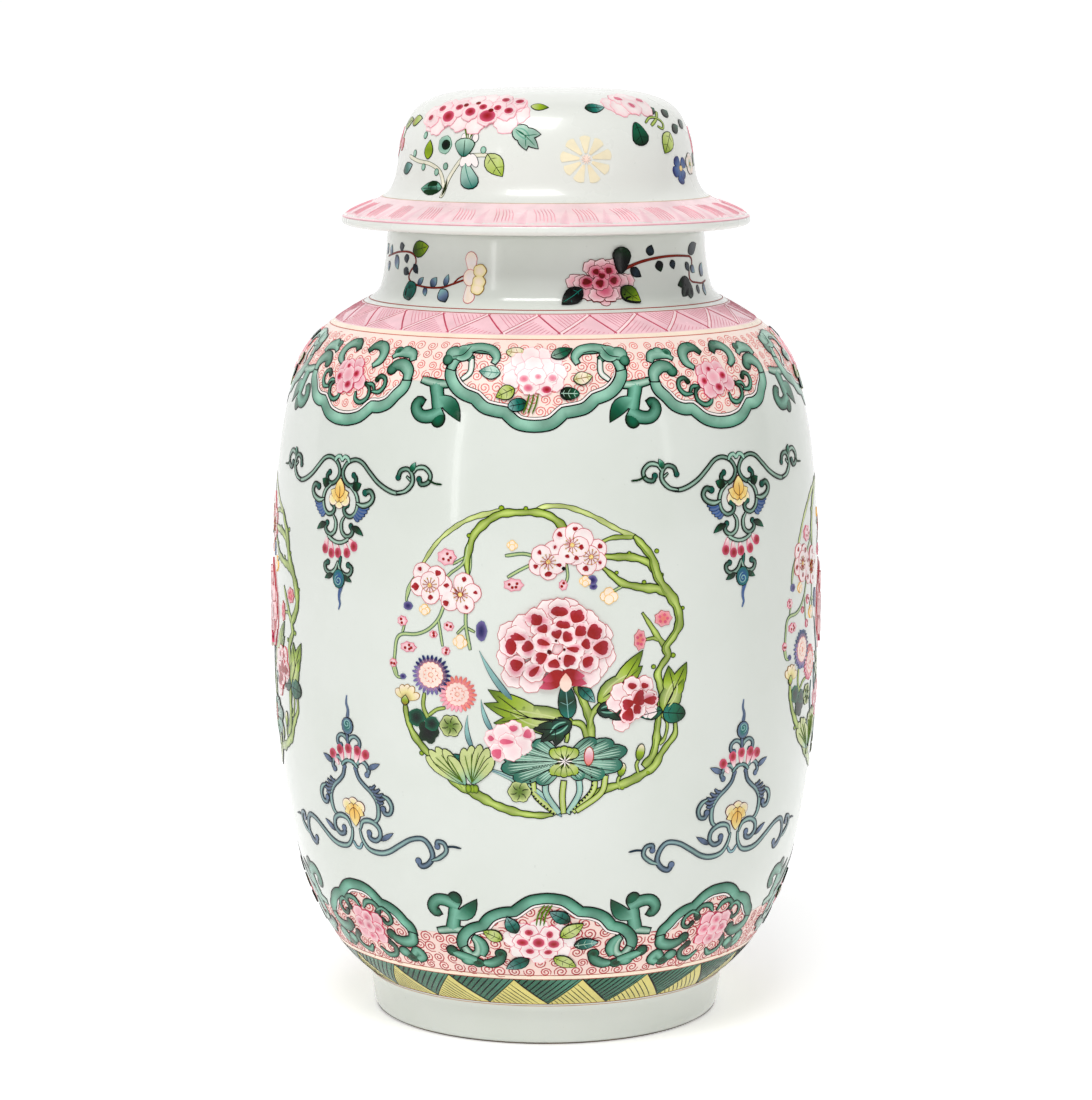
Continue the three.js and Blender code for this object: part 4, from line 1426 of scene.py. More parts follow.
def medallion_leaves(p, spot):
    p.cut_leaf(spot, (12, -57), [(-25.5, -42.8), (-27.4, -49), (-23, -57.6)], 12.5, 1.2, 1.6)
    p.cut_leaf(spot, (23.4, -48), [(43.6, -26), (43.4, -33), (41, -38)], 10.5, 1.5, -0.6)
    p.cut_leaf(spot, (54, -54), [(56.4, -34), (65.4, -33), (64, -40)], 10.5, 1.5, -0.8)
    p.leaf(spot, (10, -55), (8.6, -40), 8.2, "green", "teal dark_green teal", 2.2, form="heart",
           vein="pale_teal", ribs=1)
    p.leaf(spot, (14.6, -40.6), (21.6, -48), 5.2, "green", TEAL_LEAF, 2.1, vein="black_green")
    deep = "black_green dark_green teal/dark_green"
    p.cut_leaf(spot, (11, -56.8), [(-5.4, -60), (-2.6, -66), (4.4, -67.4)], 8.4, 2.0, -0.6, "green", deep)
    p.cut_leaf(spot, (23, -52), [(34.6, -48.6), (36.4, -52), (34, -56.6)], 7.0, 2.4, 0.4, "green", deep)
    p.leaf(spot, (54, -54.6), (64.8, -56), 9.4, "green", "teal green dark_green", 2.0, form="heart",
           vein="black_green", ribs=2)
    p.leaf(spot, (53, -53.4), (42.4, -55.4), 6.2, "green", "green dark_green teal", 2.0,
           vein="black_green", ribs=2)
    blade = "slate/teal pale_teal pale_teal"
    for base, tip, w, bend in (((-15, -47), (-29.6, -25.6), 2.5, 1.2), ((-24, -61.6), (-29, -47.6), 1.9, 1.0),
                               ((-33, -70), (-35.2, -55), 2.0, 1.6)):
        p.leaf(spot, base, tip, w, "green", blade, 1.0, "grey_line", bend=bend, form="blade", rim=0.3,
               rows=14)
    p.leaf(spot, (7, -100.6), (-31, -78), 3.4, "green", "pale_teal mint pale_teal", 0.9, "grey_line",
           "slate", bend=-4.2, form="blade", rim=0.34, rows=16, ribs=0)


def small_peony(p, spot):
    marks = [(38.6, -41.4, 3, 2.2), (44.4, -41.6, 3, 1.8), (33, -44), (42, -47.4, 4.6, 4.6),
             (47, -48, 4.6, 3.4), (37, -49.6, 4, 3.4), (31, -49), (37, -54.4, 4, 4.4), (34, -58), (47, -53),
             (41, -52, 3, 3)]
    p.petals_at(spot, (39, -49), marks, 3.9, 1.6, inward=0.0, frill=0.1, mark=0.85)


def left_flowers(p, spot):
    p.burr(spot, (-52.6, -37.4), (9.4, 9.2), ("violet", "navy", "navy"), "pink", "cream", 1.4, 25)
    p.burr(spot, (-40, -45.4), (8.8, 8.4), ("pink", "salmon", "salmon"), "pink", "peach", 1.2, 23,
           line="rose")
    p.ribbon(spot, [(-56, -46), (-56.6, -52), (-54, -58)], 1.6, "lime", LIME_BRANCH, 0.3, "olive", 0.25)
    p.ribbon(spot, [(-46, -52), (-50, -53), (-54, -56)], 1.3, "lime", LIME_BRANCH, 0.3, "olive", 0.25)
    for k, (x, y) in enumerate(((-70.6, -45.4), (-67.6, -43.2), (-64.4, -42.8), (-61.4, -43.6),
            (-58.6, -47))):
        p.petal(spot, (-65.6, -49.6), (x, y), 3.4, "yellow", "ochre pale_yellow cream", 1 + 0.3 * (k % 2),
                "ochre")
    p.leaf(spot, (-66, -52), (-65.6, -47.8), 3.4, "lime", OLIVE_LEAF, 2, "olive")
    p.dot(spot, (-60, -57.4), (4.2, 4.0), "green", "black_green", "green", 1.6, None, frill=0.1)
    p.dot(spot, (-54.2, -63.4), (4.8, 5.2), "green", "black_green", "dark_green", 1.8, None, frill=0.12,
          waves=5, steps=20)
    p.dot(spot, (-52.4, -59.6), (3.6, 3.2), "green", "black_green", "green", 1.9, None, frill=0.1)
    for x, y, r in ((-43.4, -60, 4.9), (-12, -89, 4.9)):
        p.dot(spot, (x, y), (r, r * 0.95), "lime", "deep_lime", "pale_lime", 1.6, "olive", steps=20,
              frill=0.09, waves=6)
        for k in range(6):
            a = math.radians(60 * k + 15)
            p.line(spot,
                   [(x + 1.2 * math.cos(a), y + 1.2 * math.sin(a)),
                    (x + r * 0.5 * math.cos(a + 0.2), y + r * 0.5 * math.sin(a + 0.2)),
                    (x + r * 0.85 * math.cos(a), y + r * 0.85 * math.sin(a))], 0.35, "olive", 2.8, "hair")
    for k, (x, y) in enumerate(((-55.6, -75), (-54, -72), (-50.6, -70.4), (-47, -71), (-44.6, -74))):
        p.leaf(spot, (-37, -86.6), (x, y), 4.8, "lime", "pale_green pale_lime pale_lime", 1.3 + 0.4 * k,
               "olive", form="petal", bend=0.5 * (2 - k))
        p.line(spot, [(-38, -85.4), (x * 0.5 - 18.8, y * 0.5 - 43), (x * 0.8 - 7.6, y * 0.8 - 17.3)], 0.34,
               "deep_lime", 3.6, "hair")
    p.leaf(spot, (-41, -82), (-41.4, -73), 9.5, "green", "dark_green green teal", 1.1, form="petal",
           vein="black_green")
    for k, (x, y) in enumerate(((-37.4, -70), (-33.6, -68.6), (-29.6, -68), (-26, -69.4), (-23.8, -73.4))):
        p.leaf(spot, (-33.6, -86), (x, y), 4.8, "lime", "pale_green pale_lime pale_lime", 1.5 + 0.4 * k,
               "olive", form="petal", bend=0.4 * (2 - k))
        p.line(spot, [(-33.8, -85.6), (x * 0.5 - 17, y * 0.5 - 43), (x * 0.8 - 6.8, y * 0.8 - 17.2)], 0.34,
               "deep_lime", 3.8, "hair")
    for side in (-1.7, 0, 1.7):
        p.dot(spot, (-33.8 + side, -88.4), (1.3, 1.9), "lime", "lime", "deep_lime", 3, "olive", 0.22, 9)
    marks = [(-24.6, -64.6, 2.2, 2), (-14.4, -59.8, 2.8, 2.2), (-8, -62.4, 3.4, 3), (-17.4, -66, 4.4, 3.6),
             (-22, -71.4, 3.2, 4.2), (-10, -67.6), (-20, -61.6), (-15, -71)]
    p.petals_at(spot, (-16, -66), marks, 4.0, 1.2, ("pale_pink", "petal_white"), "pink", ("rose", "pink"),
                0.12, 0.1)


def lotus_leaf(p, spot):
    """The wide ribbed leaf at the foot of the round, and the stems under it."""
    heart = np.array([8.4, -74.8])
    stems = (((-6, -84), (-4.4, -91), (4.6, -99)), ((0, -83), (0.2, -90), (6, -99)),
             ((8, -84), (7.4, -91), (8, -99)), ((14.8, -83), (15, -90), (10, -99)),
             ((20.6, -77), (21.6, -88), (12.4, -98.4)), ((27, -82), (25, -90), (14, -98)))
    for k, points in enumerate(stems):
        paint = "pale_teal mint" if k in (1, 3) else "lime pale_lime"
        p.ribbon(spot, points, 2.3, "green" if k in (1, 3) else "lime", paint, 1.0 + 0.1 * k, "black_green",
                 0.42, (0.9, 0.7))
        if k in (0, 4):
            for x, y in curve(points, 1.9):
                p.dot(spot, (x - 1.1, y), 0.5, "ink", "black_green", level=2.2, line=None, steps=6)
    left = [(-20, -78.4, 9), (-19.4, -72.6, 8.4), (-13.4, -68.4, 8.4), (-5.4, -66, 8), (-14.6, -83, 9),
            (-4, -84.6, 8)]
    right = [(22.6, -65.4, 8), (30.4, -66.8, 8.6), (36.6, -70.6, 8.4), (34.6, -77.6, 8.8), (26.6, -82, 8.4),
             (17, -82.6, 7)]
    for half in (left, right):
        fills = [("dark_green/teal/0.3", ("green", "pale_green")[k % 2] + "/mint/0.4", "teal/green")
                 for k in range(6)]
        p.merged(spot, [("lobe", (heart, (x, y)), w, fills[k], "petal") for k, (x, y, w) in enumerate(half)],
                 "green", 2.0)
        for k, (x, y, w) in enumerate(half):
            tip = np.array([x, y])
            aside = np.array([heart[1] - y, x - heart[0]]) / np.hypot(*(tip - heart)) * w
            p.line(spot, [heart * 0.9 + tip * 0.1, (heart + tip) / 2, heart * 0.1 + tip * 0.9], 0.7, "mint",
                   2.3, "ground", (1, 0.15))
            for off in (-0.3, -0.15, 0.15, 0.3):
                p.line(spot,
                       [heart * 0.8 + tip * 0.2 + aside * off * 0.3,
                        heart * 0.4 + tip * 0.6 + aside * off * 0.8, heart * 0.12 + tip * 0.88 + aside * off],
                       0.34, "black_green" if abs(off) > 0.2 else "mint", 2.2, "hair")
    for y in (-68.0, -82):
        petals = [("lobe", (heart, (8 + dx, y - 0.25 * abs(dx) * (1 if y > -75 else -1))), 4.6,
                   "lime pale_lime lime", "petal") for dx in (-6, -3, 0, 3, 6)]
        p.merged(spot, petals, "lime", 3.0, "olive")
        for dx in (-4.5, -1.5, 1.5, 4.5):
            p.line(spot,
                   [heart + (0, 1 if y > -75 else -1), (8 + dx * 0.7, (y + heart[1]) / 2),
                    (8 + dx, y * 0.9 + heart[1] * 0.1)], 0.34, "deep_lime", 3.3, "hair")
    for k in range(16):
        a = 2 * math.pi * k / 16
        far = heart + (3.6 if k % 2 else 2.6) * np.array([1.3 * math.cos(a), math.sin(a)])
        p.line(spot, [heart, (heart + far) / 2, far], 0.55, "black_green" if k % 2 else "petal_white", 4.4,
               "hair")
    p.leaf(spot, (19, -76.6), (19.4, -68.6), 3.8, "rose", "salmon pink petal_white", 4.0, "iron_red",
           form="round")
    for x, y, w, h in ((43, -72, 3.6, 7), (34.4, -79.6, 3.2, 5.6)):
        p.leaf(spot, (x - 0.6, y - h / 2), (x + 0.8, y + h / 2), w, "lime", "deep_lime lime cream", 1.6,
               "olive", form="round")
        p.ribbon(spot, [(x - 0.6, y - h / 2), (x - 1.6, y - h / 2 - 2.4), (x - 0.6, y - h / 2 - 6)], 1.2,
                 "lime", LIME_BRANCH, 0.6, "olive", 0.35)
    for points, w in (([(13, -41), (17.6, -50), (19.8, -58), (20.4, -66)], (2.4, 3.0, 3.2)),
                      ([(10, -57), (16, -58.4), (18.8, -66)], (2.0, 2.2)),
                      ([(24, -49), (20.6, -54), (19.4, -60)], (1.8, 2.0)),
                      ([(9, -58), (9.6, -63), (9, -66)], (1.2, 1.4))):
        p.branch(spot, points, w, 0.9)


def medallions():
    """The four round panels, each with the same wreath, peony, prunus and chrysanthemums."""
    frame_coat, flowers, foliage = Painter("wreath", JAR), Painter("bloom", JAR), Painter("foliage", JAR)
    for d in EVERY_QUARTER:
        spot = Spot(jar_side, d, PANEL_AT)
        medallion_frame(frame_coat, spot)
        medallion_twigs(frame_coat, spot)
        medallion_prunus(flowers, spot)
        great_peony(flowers, spot)
        small_peony(flowers, spot)
        left_flowers(flowers, spot)
        medallion_leaves(foliage, spot)
        lotus_leaf(foliage, spot)


# ---------------------------------------------------------------- sprays on the neck and lid


def neck_sprays():
    """On each half of the neck a cream flower and a red peony, each on its own leafy branch."""
    p = Painter("neck", JAR)
    twig, black = "deep_red/brown brown/iron_red", "black_green black_green dark_green"
    grey, inky = "grey_line slate pale_teal", "black_green grey_line black_green"
    olive = "olive deep_lime lime"
    for turn in (0, 180):
        s = Spot(jar_side, turn - 50, NECK_AT)
        p.ribbon(s,
                 [(-36, 7), (-28, 8.4), (-20, 9.8), (-12, 10.4), (-7, 10), (-4, 8.6), (-3, 6.4), (-3.6, 4.4),
                  (-6, 2.4), (-7.4, 0), (-7, -2), (-4, -3.6), (0, -4.4), (6, -5), (12, -5), (17, -4.4),
                  (22, -2.8), (28, -0.6)], 0.95, "hair", twig, 0, None, cols=2)
        p.ribbon(s, [(22, -2.8), (25, 0), (29, 1.6)], 0.7, "hair", twig, 0.1, None, cols=2)
        p.leaf(s, (-5.8, 11), (5.4, 13.6), 7.2, "lime", olive, 0.6, "black_green", "olive", ribs=2)
        for base, tip, w, look in (((-18.6, 12), (-14.4, 13), 3.6, inky), ((-23, 8), (-19, 2), 4.8, grey),
                                   ((-11.6, 9), (-10.6, 5.4), 3.8, inky), ((-4.4, 4.8), (-1, 1), 3.2, inky),
                                   ((-12.4, 2.2), (-8, 0.4), 3.4, inky), ((-31, 8), (-30, 12.4), 4.2, grey),
                                   ((-40, 8), (-38, 12.6), 4.6, grey), ((-33, 4.6), (-31.6, 0.6), 3.6, grey),
                                   ((0.4, -4), (3.6, -0.8), 2.6, grey), ((5.4, -5.4), (7, -9), 2.4, grey),
                                   ((9.4, -4.4), (12.2, -0.4), 3.8, grey),
                                   ((17.4, -3.8), (19, 1.2), 2.6, grey)):
            p.leaf(s, base, tip, w, "blue" if look is grey else "green", look, 0.7, "grey_line", rim=0.3)
        p.leaf(s, (-6.8, -3.4), (-1.8, -12), 8.8, "green", "teal dark_green black_green teal", 0.8,
               vein="black_green", ribs=2)
        p.leaf(s, (15.6, -5.8), (20, -11.6), 5.4, "blue", "pale_teal slate grey_line", 0.8)
        cream = "cream petal_white cream"
        p.petal(s, (31.6, 2), (30.6, 12), 6.0, "yellow", cream, 1, "petal_line")
        p.petal(s, (30.4, -2.6), (31.6, -11.8), 5.4, "yellow", cream, 1, "petal_line")
        p.dot(s, (30.8, 0.4), (3.3, 3.7), "yellow", "petal_white", "cream", 1.7, "petal_line", 0.26)
        for x, y in ((35.6, 3.6), (34.8, -4.4), (35.4, -1.4)):
            p.dot(s, (x, y), (3.0, 2.8), "yellow", "cream", "pale_yellow", 2.4, "ochre", 0.3, 16, frill=0.05)
        s = Spot(jar_side, turn + 50, NECK_AT)
        outer = [(-53.4, -1), (-50, -1.4), (-28.4, -1.2), (-32, -1.6), (-45.4, 5.2), (-36, 5.2),
                 (-40.6, 5.4), (-47.4, -6), (-34.6, -6.2), (-43.4, -7.4), (-37.6, -7.2)]
        p.petals_at(s, (-41, -1), outer, (3.9, 3.3), 0.8, ("pink", "pale_pink"), "deep_red", inward=0.0,
                    frill=0.12)
        p.petal(s, (-40.2, -7), (-40.2, -13), 4.6, "rose", PINK_PETAL, 0.7, "deep_red")
        inner = [(-43.6, 3.2, 3.4, 2.4), (-37.6, 3.6, 3.6, 2.6), (-48, -1.4, 4.0, 3.4), (-42, -2, 3.4, 3.6),
                 (-35.4, -0.8, 3.6, 3.2), (-41, 1.4, 3.0, 2.4), (-40, -5.4)]
        p.petals_at(s, (-41, -1), inner, (3.6, 3.0), 5.4, ("rose", "pink"), "deep_red",
                    ("deep_red", "crimson"), 0.0, 0.1, 0.6)
        p.leaf(s, (-31.6, 2.4), (-30, 14), 9.0, "green", black, 9.4, form="petal")
        p.leaf(s, (-31.4, -4), (-24, -11.8), 7.6, "lime", olive, 9.4, "black_green", "olive", ribs=2)
        p.leaf(s, (-50.6, -4.4), (-59.4, -11.6), 7.4, "green", black, 9.4, vein="teal", ribs=2)
        p.leaf(s, (-25.6, 4.2), (-20.8, 0.6), 3.8, "green", inky, 0.8)
        p.ribbon(s,
                 [(-31, 3.4), (-25, 5.8), (-18, 7.6), (-8, 8.8), (2, 9), (12, 8.4), (16, 7.8), (17.4, 6),
                  (16.8, 4)], (1.5, 1.2, 0.9), "hair", twig, 0.3, None, cols=2)
        p.ribbon(s, [(11.6, 5), (13.4, 2), (13, -1.6), (15, -3.6), (20, -4.4), (26, -5), (33, -4.2)], 0.9,
                 "hair", twig, 0.2, None, cols=2)
        for base, tip, w, look in (((-15, 10), (-13.4, 14.4), 4.6, inky),
                                   ((-9.6, 7), (-8.4, 2.4), 4.8, black), ((-0.4, 7), (0.8, 3.2), 3.8, inky),
                                   ((11, 5.4), (13.6, 1.4), 3.4, inky), ((15.4, 3.4), (19, 0.6), 3.6, grey),
                                   ((20, -5.6), (18.4, -9.6), 2.6, inky),
                                   ((28.6, -5.4), (24.6, -11), 2.8, grey), ((26, -1.6), (30, 4), 5.0, grey),
                                   ((14.4, 10), (24, 13.4), 5.4, inky)):
            p.leaf(s, base, tip, w, "green", look, 0.7, "black_green", rim=0.3)
        for base, tip in (((12, -3), (2.6, -4.6)), ((12, -3.6), (3.8, -10)), ((12.4, -4), (8.6, -11.4))):
            p.leaf(s, base, tip, 5.4, "green", black, 1)


def lid_sprays():
    p = Painter("dome", LID)
    for turn in (0, 180):
        s = Spot(lid_side, turn, DOME_AT)
        pale = [(-66, 6), (-57, 11), (-48, 14), (-40, 16), (-33, 18), (-24, 18), (-14, 14),
                (-12, 8), (-18, 3), (-34, 2), (-43, 3), (-57, 1), (-62, 3)]
        p.petals_at(s, (-38, 9), pale, 5.2, 0.6, ("petal_white", "blush"), "pink", inward=0.04, frill=0.1)
        marks = [(-62, 4, 3, 2.6), (-57, 9, 4, 3), (-50, 5, 6.6, 5), (-46, 10, 4, 3), (-38, 7.6, 5.4, 4),
                 (-32, 10.4, 4, 3), (-28, 5.6, 7.4, 5.4), (-18, 8.4, 4, 3), (-13.6, 14.4, 4, 2.8),
                 (-21.6, 15.6, 4, 3), (-24, 10, 3.6, 3)]
        p.petals_at(s, (-38, 9), marks, 4.6, 5.6, ("blush", "pale_pink"), "pink", ("crimson", "rose"), 0.05,
                    0.1, 0.66, soft=True)
        for x, y in ((-42.6, 11.4), (-36, 12.8), (-27, 8.4)):
            p.dot(s, (x, y), (1.4, 1.0), "crimson", "deep_red", "crimson", 11.6, None, steps=10)
        p.leaf(s, (-7.4, 12.4), (1, 11.6), 4.2, "lime", "pale_lime lime deep_lime", 1, "olive")
        p.leaf(s, (20, 11), (30, 11.4), 5.6, "green", TEAL_LEAF, 1, vein="black_green", ribs=2)
        p.cut_leaf(s, (-14.6, 0.4), [(-2.6, -2.6), (-3.6, -9), (-8.6, -9.6)], 7.6, 1.2, 0.4, "green",
                   "mint mint/teal/0.3 mint", "green")
        heart = np.array([17.4, -14])
        for k in range(9):
            a = math.radians(40 * k + 10 + rng.uniform(-3, 3))
            out = np.array([math.cos(a), math.sin(a) * 0.94])
            p.leaf(s, heart + out * 3, heart + out * rng.uniform(11, 12.4), 5.2, "yellow",
                   "daisy/amber/0.12 daisy daisy", 1, None, form="wedge", rows=10)
        for k in range(10):
            a = math.radians(36 * k)
            p.line(s,
                   [heart, heart + (0.9 * math.cos(a), 0.9 * math.sin(a)),
                    heart + (2.2 * math.cos(a), 2.2 * math.sin(a))], 0.45, "peach", 1.5, "hair")
        p.leaf(s, (44.4, 2.4), (46.4, -8), 9.6, "green", "green dark_green/green black_green/dark_green", 1,
               "black_green", "black_green", form="petal", ribs=2)
        p.leaf(s, (66.6, -3), (60, -12), 8.4, "lime", "pale_lime lime/pale_lime deep_lime/lime", 1, "olive",
               "olive", ribs=2)
        p.ribbon(s, [(51, 2.4), (55, 4.8), (60, 4.6), (63.4, 2), (62, -0.8), (58.8, 0.4)], 0.9, "lime",
                 LIME_BRANCH, 0.4, "olive", 0.22, cols=2)
        stem = "pale_lime/petal_white petal_white/pale_lime/0.3"
        p.ribbon(s,
                 [(-45.6, -33), (-45, -25), (-42, -19), (-39, -15), (-36.6, -13), (-31, -12.4), (-26, -12.4),
                  (-22.4, -14)], 1.5, "lime", stem, 0, "olive", 0.2)
        p.ribbon(s, [(-46, -28), (-50, -20.4), (-57, -17), (-66, -16), (-75, -14)], 1.5, "lime", stem, 0.1,
                 "olive", 0.2)
        p.leaf(s, (-25.6, -12), (-18.8, -21.6), 8.2, "lime", "pale_lime pale_lime/lime lime", 1, "olive",
               "olive", ribs=2)
        for x, y in ((-28, -10), (-61.4, -18.6), (-52, -20.6), (-47, -17.8), (-70, -12.6), (-63.4, -4)):
            p.dot(s, (x, y), (1.2, 1.5), "green", "mint", "pale_green", 0.8,
                  "dark_green" if x < -63 else "olive", 0.25, 10)
        p.leaf(s, (-36.4, -16), (-31.4, -27.4), 8.4, "green", "mint pale_teal/mint teal", 1, "black_green",
               "teal", form="petal", ribs=0, bend=-0.8)
        for dx in (-3, 0, 3):
            p.leaf(s, (-34.6 + dx * 0.4, -12), (-34.6 + dx * 1.3, -17.6), 3.2, "ground",
                   "petal_white petal_white petal_white", 1.8, "grey_line", rim=0.2, form="round")
        p.leaf(s, (-37.4, -13), (-37.6, -5), 10.4, "green", "teal mint/teal/0.4 mint", 2.4, "dark_green",
               "dark_green", form="petal", ribs=0)
        for dx in (-2.6, 0, 3.4):
            p.line(s, [(-36 + dx * 0.2, -5.6), (-36.4 + dx * 0.6, -2), (-36.6 + dx, 1.2)], 0.7, "deep_lime",
                   1.4)
            p.leaf(s, (-36 + dx, -6.4), (-35.6 + dx, -2.6), 2.8, "ground",
                   "petal_white petal_white petal_white", 1.6, "grey_line", rim=0.2, form="round")
        p.dot(s, (-48.8, -8), (3.8, 4.0), "green", "pale_green", "mint", 1, "green", 0.2, 14, frill=0.06)
        p.dot(s, (-48, -8), (2.6, 2.4), "green", "black_green", "dark_green", 1.8, None, 12)
        p.leaf(s, (-59, -14.6), (-59, -6.4), 5.4, "lime", "lime deep_lime/lime lime", 1, "olive")
        p.leaf(s, (-47.6, -28), (-59.4, -28.6), 6.6, "green", "pale_green dark_green/green pale_green", 1,
               "dark_green", "black_green", ribs=2)
        s = Spot(lid_side, turn + 45, DOME_AT)
        for x, y in ((17, -16), (24, -17), (22, -23), (15, -21), (19, -25)):
            p.petal(s, (20 + (x - 20) * 0.2, -19.6 + (y + 19.6) * 0.2),
                    (20 + (x - 20) * 1.35, -19.6 + (y + 19.6) * 1.35), 5.4, "blue", "slate blue navy", 1,
                    "navy", rim=0.2)
        p.dot(s, (20, -19.6), 1.3, "yellow", "pale_yellow", "amber", 2, None)
        marks = [(-16, 14), (-8, 18, 4, 3), (0, 20), (6, 16, 3, 3), (4, 11), (-4, 12, 4, 3), (-12, 11)]
        p.petals_at(s, (-5, 15), marks, 5.2, 0.8, ("petal_white", "pale_pink"), "pink", ("rose", "pink"),
                    0.05, 0.1)
        p.ribbon(s, [(3, 1), (8, 4), (12, 8)], 1.3, "lime", LIME_BRANCH, 0, "olive", 0.25)
        for x, y in ((22, -1), (32, 1), (8, 9), (19, 7)):
            p.leaf(s, (x - 3, y - 1), (x + 3.4, y + 1), 4, "green", INKY_LEAF, 1)
        p.blossom(s, (32, -18), 5, tints="pale_green cream petal_white", blush=False, line="olive")
        s = Spot(lid_side, turn - 45, DOME_AT)
        p.leaf(s, (-30, 2), (-21, 4), 5, "lime", OLIVE_LEAF, 1, "olive")
        p.leaf(s, (-28, -21), (-20, -18), 5, "green", TEAL_LEAF, 1)
        p.dot(s, (-38, -9), (2.4, 2.8), "rose", "rose", "pink", 1, "iron_red")
        s = Spot(lid_side, turn + 90, DOME_AT)
        p.blossom(s, (0, -8), 7, petals=6)
        p.leaf(s, (-12, -18), (-4, -14), 5, "green", DARK_LEAF, 1)
        p.leaf(s, (10, 0), (20, 3), 5.4, "lime", LIME_LEAF, 1, "olive", "olive")
        p.ribbon(s, [(-22, -22), (-12, -18), (-2, -16), (10, -8), (14, -1)], 1.4, "lime", LIME_BRANCH, 0,
                 "olive", 0.25)


# ---------------------------------------------------------------- porcelain


def turned(name, rows, body, finish):
    """A solid turned from an outline that starts and ends on the axis, or a ring from a closed one."""
    on_axis = rows[0][0] < 0.01
    ring_rows = rows[1:-1] if on_axis else rows
    a = np.linspace(0, 2 * math.pi, ROUND, endpoint=False)
    r, z = np.array(ring_rows).T
    points = np.stack([r[:, None] * np.sin(a), -r[:, None] * np.cos(a), np.repeat(z[:, None], ROUND, 1)], -1)
    points = points.reshape(-1, 3) * MM
    count = len(ring_rows)
    faces = []
    for i in range(count - 1 if on_axis else count):
        j = (i + 1) % count
        faces += [
            (i * ROUND + k, i * ROUND + (k + 1) % ROUND, j * ROUND + (k + 1) % ROUND, j * ROUND + k)
            for k in range(ROUND)
        ]
    if on_axis:
        low, high = count * ROUND, count * ROUND + 1
        points = np.vstack([points, [[0, 0, rows[0][1] * MM], [0, 0, rows[-1][1] * MM]]])
        faces += [(low, (k + 1) % ROUND, k) for k in range(ROUND)]
        last = (count - 1) * ROUND
        faces += [(high, last + k, last + (k + 1) % ROUND) for k in range(ROUND)]
    mesh = bpy.data.meshes.new(name)
    mesh.from_pydata(points.tolist(), [], faces)
    mesh.shade_smooth()
    mesh.set_sharp_from_angle(angle=BROKEN)
    mesh.materials.append(finish)
    piece = bpy.data.objects.new(name, mesh)
    bpy.context.scene.collection.objects.link(piece)
    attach(piece, body)
    return piece


def thinned(rows, gap):
    """Leaves out rows that are closer than the gap, but keeps every corner."""
    kept = [rows[0]]
    for here, after in zip(rows[1:], rows[2:]):
        d, e = here - kept[-1], after - here
        bend = abs(math.atan2(d[0] * e[1] - d[1] * e[0], d @ e))
        if np.hypot(*d) > gap or bend > 0.16 or np.hypot(*d) * bend > 0.06:
            kept.append(here)
    kept.append(rows[-1])
    return kept


def porcelain():
    jar_rows = thinned(smoothed(jar_outline, 0.5)[0], 3.2)
    lid_rows = thinned(smoothed(lid_outline, 0.5)[0], 2.6)
    jar = turned("jar_porcelain_body", jar_rows, JAR, glazed_porcelain("jar_glaze"))
    # The lid's glaze takes lighter tones than the jar's: painted light, for the brighter light that falls on
    # the lid at the top.
    lid = turned("lid_porcelain_body", lid_rows, LID,
                 glazed_porcelain("lid_glaze", (221, 223, 216), (227, 229, 223), (0.24, 0.32)))
    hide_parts("jar_body")
    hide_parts("lid")


def biscuit_rings():
    """The unglazed foot ring, burnt brown where the glaze stops short of it, and darker as painted shadow
    where the foot meets the floor.
    """
    finish = biscuit_and_shadow_finish("biscuit")
    inner = min(p[0] for p in jar_outline if p[1] == 0 and p[0] > 1)
    over, deep = 0.14, 0.6
    outside = [(float(r) + over, float(z)) for r, z in zip(jar_side.r[::2], jar_side.z[::2]) if z < 1.5]
    foot = [(inner - over, 1.6), (inner - over, 0.0), *outside, (outside[-1][0] - deep, outside[-1][1]),
            (outside[0][0] - deep, 0.6), (inner + deep, 0.6), (inner + deep, 1.6)]
    turned("foot_ring_biscuit", foot, JAR, finish)


# ---------------------------------------------------------------- the studio


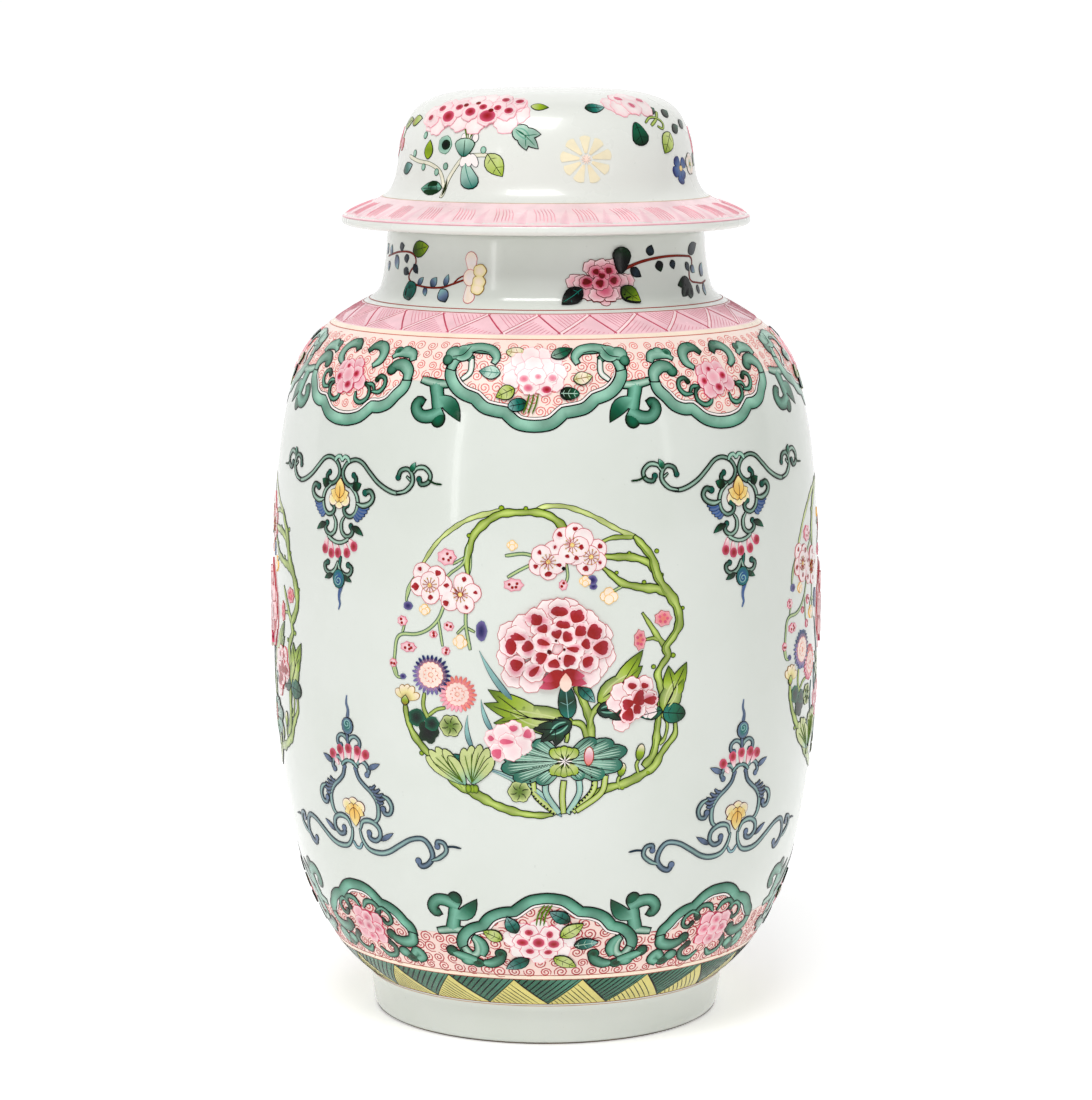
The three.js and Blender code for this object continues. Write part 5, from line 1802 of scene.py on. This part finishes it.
def backdrop():
    """A sheet of white paper that lies on the table and curves up behind."""
    finish, _, shader = new_finish("white_paper")
    shader.inputs["Base Color"].default_value = (0.9, 0.9, 0.9, 1)
    shader.inputs["Roughness"].default_value = 1.0
    shader.inputs["Specular IOR Level"].default_value = 0.0
    shader.inputs["Emission Color"].default_value = (1, 1, 1, 1)
    shader.inputs["Emission Strength"].default_value = 0.42
    wide, near, far, tall, bend = 7.0, -6.0, 3.2, 6.0, 1.2
    section = [(near, 0.0), (far - bend, 0.0)]
    section += [(far - bend + bend * math.sin(a),
                 bend - bend * math.cos(a)) for a in np.radians(range(10, 90, 10))]
    section += [(far, bend), (far, tall)]
    points = [(x, y, z) for y, z in section for x in (-wide, wide)]
    faces = [(2 * i, 2 * i + 1, 2 * i + 3, 2 * i + 2) for i in range(len(section) - 1)]
    mesh = bpy.data.meshes.new("backdrop")
    mesh.from_pydata(points, [], faces)
    mesh.shade_smooth()
    mesh.materials.append(finish)
    piece = bpy.data.objects.new("backdrop", mesh)
    bpy.context.scene.collection.objects.link(piece)


def softbox(name, place, aim, width, height, power):
    lamp = bpy.data.lights.new(name, "AREA")
    lamp.shape, lamp.size, lamp.size_y, lamp.energy = "RECTANGLE", width, height, power
    piece = bpy.data.objects.new(name, lamp)
    piece.location = place
    piece.rotation_euler = (Vector(aim) - Vector(place)).to_track_quat("-Z", "Y").to_euler()
    bpy.context.scene.collection.objects.link(piece)


def lights():
    softbox("key", (-0.24, -1.3, 2.3), (0, 0, 0.25), 1.3, 1.0, 37)
    softbox("left_window", (-1.05, -1.5, 0.62), (0, 0, 0.28), 0.1, 0.8, 1.2)
    softbox("right_window", (1.5, -1.1, 0.7), (0, 0, 0.3), 0.1, 0.5, 0.3)
    world = bpy.data.worlds.new("white_room")
    world.use_nodes = True
    world.node_tree.nodes["Background"].inputs["Color"].default_value = (1, 1, 1, 1)
    world.node_tree.nodes["Background"].inputs["Strength"].default_value = 0.38
    bpy.context.scene.world = world


def camera():
    """From a little right of straight ahead and about jar height, looking slightly down."""
    lens = bpy.data.cameras.new("camera")
    lens.sensor_fit, lens.sensor_width, lens.lens = "HORIZONTAL", 36.0, 122.9
    lens.clip_start, lens.clip_end = 0.05, 50
    piece = bpy.data.objects.new("camera", lens)
    away, high, turn, tilt = 1.756, 0.4735, math.radians(2.0), math.radians(8.23)
    piece.location = (away * math.sin(turn), -away * math.cos(turn), high)
    piece.rotation_euler = (math.pi / 2 - tilt, 0, turn)
    bpy.context.scene.collection.objects.link(piece)
    bpy.context.scene.camera = piece


porcelain()
biscuit_rings()
foot_band()
foot_panels()
scrollwork()
medallions()
shoulder_panels()
shoulder_band()
neck_sprays()
flange_band()
lid_sprays()
for coat in Coat.everything:
    coat.build()
backdrop()
lights()
camera()
bpy.context.scene.view_settings.view_transform = "Standard"
